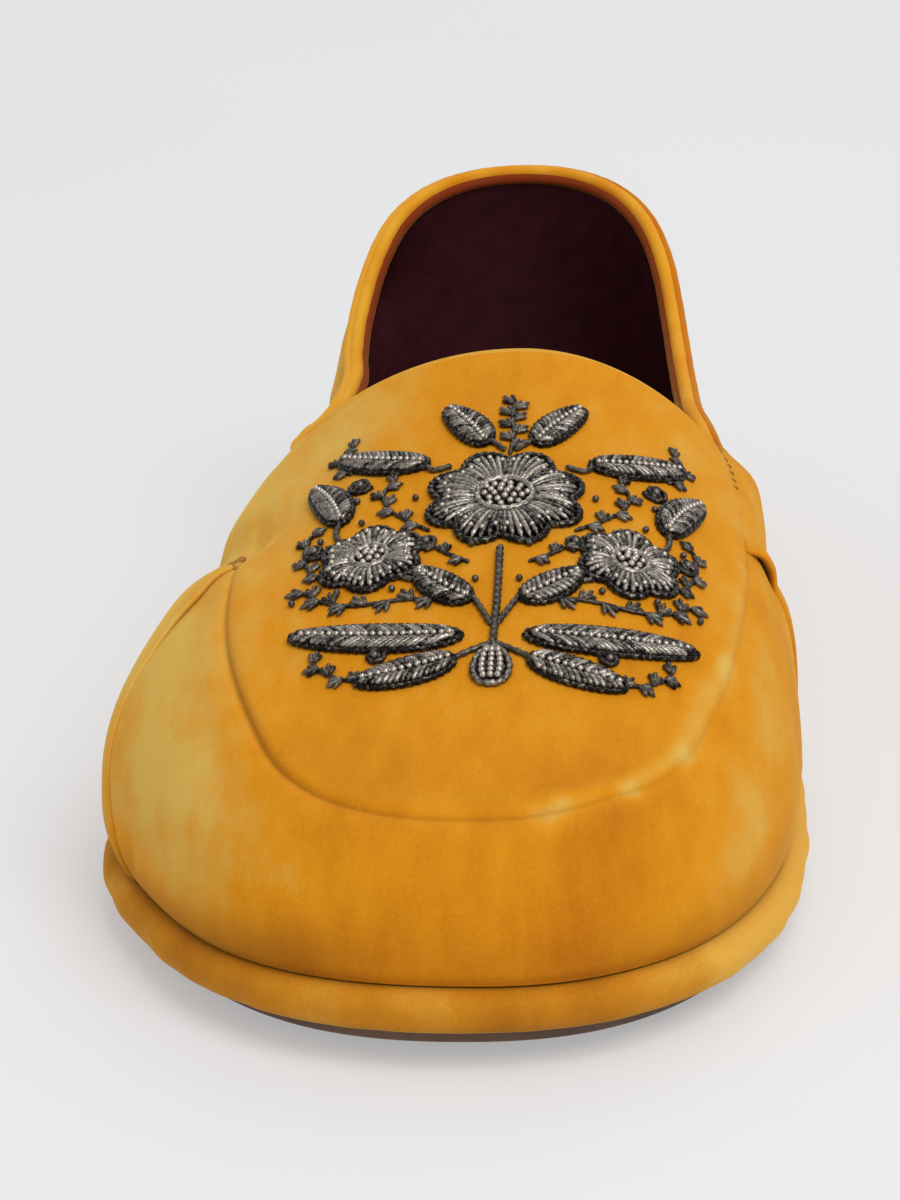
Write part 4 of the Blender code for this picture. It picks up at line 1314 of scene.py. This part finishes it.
def make_bud():
    """The bud at the foot: a small upright leaf filled with beads in a roped edge."""
    work = Stitching(77)
    a, u = leaf_rim(BUD, 1)
    work.pad(a[:-1:2], u[:-1:2], 0.0008)
    work.rope(a, u, 0.00055, closed=True, tone=0.4)
    t, v = np.meshgrid(np.linspace(0.16, 0.84, 6), (-0.5, 0.0, 0.5))
    work.beads(*[p.ravel() for p in leaf_place(BUD, t, v, 1)], 0.00060, lift=0.0006)
    work.finish("bud_embroidery", silver, ("bud",))


# Stems on the inner side, mirrored to the outer one: places as shares of SPRAY_LENGTH
STEMS = (
    ((0.006, -0.330), (0.070, -0.205), (0.140, -0.180), (0.200, -0.160)),
    ((0.330, -0.010), (0.352, 0.030), (0.350, 0.080)),
    ((0.010, 0.285), (0.050, 0.330), (0.060, 0.318)),
    ((0.120, 0.235), (0.160, 0.225), (0.178, 0.250)),
    ((0.000, -0.385), (0.040, -0.405), (0.080, -0.430)),
)
CENTRE_STEM = ((0.000, -0.400), (0.003, -0.250), (0.000, -0.070))
# Vines that carry leaflets: places, number of leaflets, and their length
VINES = (
    (((0.085, -0.245), (0.180, -0.232), (0.290, -0.236), (0.360, -0.205), (0.405, -0.155)), 9, 0.046),
    (((0.150, 0.000), (0.205, 0.050), (0.248, 0.105), (0.262, 0.160), (0.240, 0.210)), 7, 0.040),
    (((0.362, -0.125), (0.400, -0.080), (0.418, -0.010), (0.408, 0.060)), 6, 0.038),
    (((0.345, 0.285), (0.375, 0.320), (0.385, 0.375), (0.355, 0.420)), 5, 0.036),
    (((0.060, -0.120), (0.110, -0.085), (0.135, -0.060)), 3, 0.036),
    (((0.200, -0.455), (0.270, -0.470), (0.330, -0.440), (0.365, -0.395)), 6, 0.038),
)
CENTRE_VINE = (((0.000, 0.270), (0.004, 0.350), (-0.003, 0.420), (0.000, 0.480)), 8, 0.044)
# Curls: centre, start radius, start angle in degrees and number of turns
CURLS = (
    (0.395, -0.012, 0.030, 160, 1.4),
    (0.155, -0.040, 0.024, 20, -1.5),
    (0.318, 0.215, 0.030, 200, 1.5),
    (0.225, 0.245, 0.022, -60, 1.3),
    (0.235, -0.405, 0.022, 100, 1.4),
)
KNOTS = (
    (0.300, 0.060), (0.318, 0.150), (0.190, 0.125), (0.130, 0.470), (0.330, -0.185), (0.215, -0.195),
    (0.425, -0.190), (0.060, -0.060), (0.045, -0.180), (0.385, 0.020),
)


def leaflets(work, across, up, count, length, side):
    """Leaflets along a vine, left and right in turn: three bullions fan out of each foot."""
    at = np.linspace(0.12, 0.98, count)
    t = np.linspace(0, 1, len(across))
    foot = np.stack([np.interp(at, t, across), np.interp(at, t, up)], -1)
    heading = np.arctan2(np.interp(at, t, np.gradient(up)), np.interp(at, t, np.gradient(across)))
    hand = np.where(np.arange(count) % 2, 1.0, -1.0) * side
    for spread_angle, share in ((0.35, 0.85), (0.85, 1.0), (1.35, 0.75)):
        way = heading + hand * spread_angle
        tip = foot + length * share * np.stack([np.cos(way), np.sin(way)], -1)
        work.bullions(foot, tip, LEAFLET_BULLION, 0.0003, rings=7, sides=6, tone=0.45 + 0.15 * share)


def smooth_through(values, t):
    """Values at t along given points, on a cubic through neighbouring points."""
    at = np.arange(len(values), dtype=float)
    return curve({"at": at, "v": values}, "v", t)


def make_stems():
    """Stems, leafy vines, curls and knots that tie the spray together."""
    work = Stitching(5)

    def line(points, side, count=40):
        """Places on a smooth line through given points, on one side."""
        points = np.array(points) * SPRAY_LENGTH
        t = np.linspace(0, len(points) - 1, count)
        return smooth_through(points[:, 0], t) * side, smooth_through(points[:, 1], t)

    work.rope(*line(CENTRE_STEM, 1), 0.00062, tone=0.5)
    points, count, length = CENTRE_VINE
    work.rope(*line(points, 1), 0.00040, tone=0.4)
    leaflets(work, *line(points, 1), count, length * SPRAY_LENGTH, 1)
    for side in (-1, 1):
        for stem in STEMS:
            work.rope(*line(stem, side), 0.00050, tone=0.5)
        for points, count, length in VINES:
            work.rope(*line(points, side), 0.00036, tone=0.35)
            leaflets(work, *line(points, side), count, length * SPRAY_LENGTH, side)
        for across, up, radius, start, turns in CURLS:
            t = np.linspace(0, 1, 60)
            angle = np.radians(start) + 2 * np.pi * turns * t
            size = radius * (1 - 0.75 * t)
            a = (across + size * np.cos(angle)) * side * SPRAY_LENGTH
            work.rope(a, (up + size * np.sin(angle)) * SPRAY_LENGTH, 0.00046, tone=0.3)
            work.beads(across * side * SPRAY_LENGTH, up * SPRAY_LENGTH, 0.0007)
        places = np.array(KNOTS) * SPRAY_LENGTH
        work.beads(places[:, 0] * side, places[:, 1], 0.00062, tone=0.55)
    work.finish("stems_embroidery", dark_silver)


# Stitches: station, whether on the outer side, row, heading in radians from straight up, length and
# radius. A knotted bar of four with two across it, then five down the inner seam.
TACKS = (
    *((0.312 + 0.0022 * k, True, 0.985, 1.2, 0.0034, 0.0005) for k in range(4)),
    (0.3155, True, 0.972, 0.3, 0.0026, 0.0006),
    (0.3155, True, 0.998, 0.3, 0.0026, 0.0006),
    *((0.455 - 0.0075 * k, False, 1.0, -0.75, 0.0021, 0.00022) for k in range(5)),
)


def make_tacks():
    """Brown stitches at the upper's seams: a knotted bar at the outer notch, and short slanted ones
    down the inner seam from the throat. Each is a small arched tube across the seam."""
    tacks = []

    def stitch(at, outer, row, heading, length, radius):
        """One stitch: a tube along its heading, arched over the skin by a parabola."""
        turn = np.array([turn_at(at, outer)])
        points, normals, *_ = base_skin(turn, [row - 0.01, row, row + 0.01])
        normal = normals[0, 1]
        up = points[0, 2] - points[0, 0]
        up /= np.linalg.norm(up)
        ahead = np.cross(normal, up) * (1 if outer else -1)
        way = np.cos(heading) * up + np.sin(heading) * ahead
        centre = points[0, 1] - normal * sunk(points[0, 1])
        t = np.linspace(-1, 1, 9)[:, None]
        path = centre + way * t * length / 2 + normal * (radius * (1.3 - 1.2 * t**2))
        tacks.append(tube_rings(path, normal + 0 * path, radius, 7, closed_ends(9, 6)[:, None]))

    for tack in TACKS:
        stitch(*tack)
    vertices = np.concatenate([t.reshape(-1, 3) for t in tacks])
    make_piece("seam_tacks", vertices, ring_quads(len(tacks), 9, 7)[:, ::-1], tack_thread, (),
               {"tone": np.full(len(vertices), 0.5)})


def make_spray():
    """The whole spray: flower, blossoms, leaves, bud and stems."""
    make_flower("flower", **FLOWER, side=1, seed=11)
    for side, word in ((-1, "outer"), (1, "inner")):
        make_flower(f"blossom_{word}", **BLOSSOM, side=side, seed=20 + side)
        for k, leaf in enumerate(LEAVES):
            make_leaf(leaf, side, 40 + 2 * k + side, f"{leaf[0]}_{word}")
    make_bud()
    make_stems()


make_vamp()
make_apron()
make_quarters()
make_lining_skin()
make_binding()
make_throat_fold()
make_tacks()
make_sole_band()
make_outsole()
make_sock()
make_spray()


# Floor, light and camera

WORLD_BRIGHTNESS = 0.50
# Name, place, size and power of each light
LIGHTS = (
    ("key", (0.60, -0.75, 1.30), 1.0, 12.0),
    ("fill", (-0.95, -0.70, 0.80), 1.1, 0.5),
    ("front", (0.30, -1.40, 0.55), 1.2, 1.8),
    ("back", (0.10, 1.10, 1.10), 1.0, 4.0),
)


def make_floor():
    """A wide pale floor under the shoe. It gives off a little light of its own, which keeps the
    shadow under the shoe as pale as in the photograph."""
    made, tree, shader = new_material(
        "floor", Roughness=0.9, Specular_IOR_Level=0.05, Emission_Color=(0.98, 0.99, 1.0, 1.0),
        Emission_Strength=0.36,
    )
    body = ramp(tree, noise(tree, 3.0, 2.0), (0.3, (0.47, 0.47, 0.475)), (0.7, (0.49, 0.49, 0.49)))
    tree.links.new(body, shader.inputs["Base Color"])
    bpy.ops.mesh.primitive_plane_add(size=12.0, location=(0, 0, 0))
    floor = bpy.context.object
    floor.name = "floor"
    floor.data.materials.append(made)


def make_light(name, place, size, power):
    """A soft square white light that looks at the shoe."""
    data = bpy.data.lights.new(name, "AREA")
    data.size = size
    data.energy = power
    light = bpy.data.objects.new(name, data)
    light.location = place
    light.rotation_mode = "QUATERNION"
    light.rotation_quaternion = (-Vector(place)).to_track_quat("-Z", "Y")
    bpy.context.scene.collection.objects.link(light)


def make_world():
    """An even white light from all round."""
    world = bpy.data.worlds.new("studio")
    world.use_nodes = True
    background = world.node_tree.nodes["Background"]
    background.inputs["Color"].default_value = (1, 1, 1, 1)
    background.inputs["Strength"].default_value = WORLD_BRIGHTNESS
    bpy.context.scene.world = world


def make_camera():
    """The photograph's camera: it looks at the aim from its yaw and elevation, rolled a little."""
    yaw, elevation, roll = np.radians([CAMERA_YAW, CAMERA_ELEVATION, CAMERA_ROLL])
    back = Vector((np.sin(yaw) * np.cos(elevation), -np.cos(yaw) * np.cos(elevation), np.sin(elevation)))
    data = bpy.data.cameras.new("camera")
    data.lens = CAMERA_LENS
    data.sensor_width = 36.0
    camera = bpy.data.objects.new("camera", data)
    camera.location = Vector(CAMERA_AIM) + back * CAMERA_DISTANCE
    camera.rotation_mode = "QUATERNION"
    look = (-back).to_track_quat("-Z", "Y").to_matrix().to_4x4() @ Matrix.Rotation(roll, 4, "Z")
    camera.rotation_quaternion = look.to_quaternion()
    bpy.context.scene.collection.objects.link(camera)
    bpy.context.scene.camera = camera


make_floor()
make_world()
for light in LIGHTS:
    make_light(*light)
make_camera()
bpy.context.scene.view_settings.view_transform = "Standard"
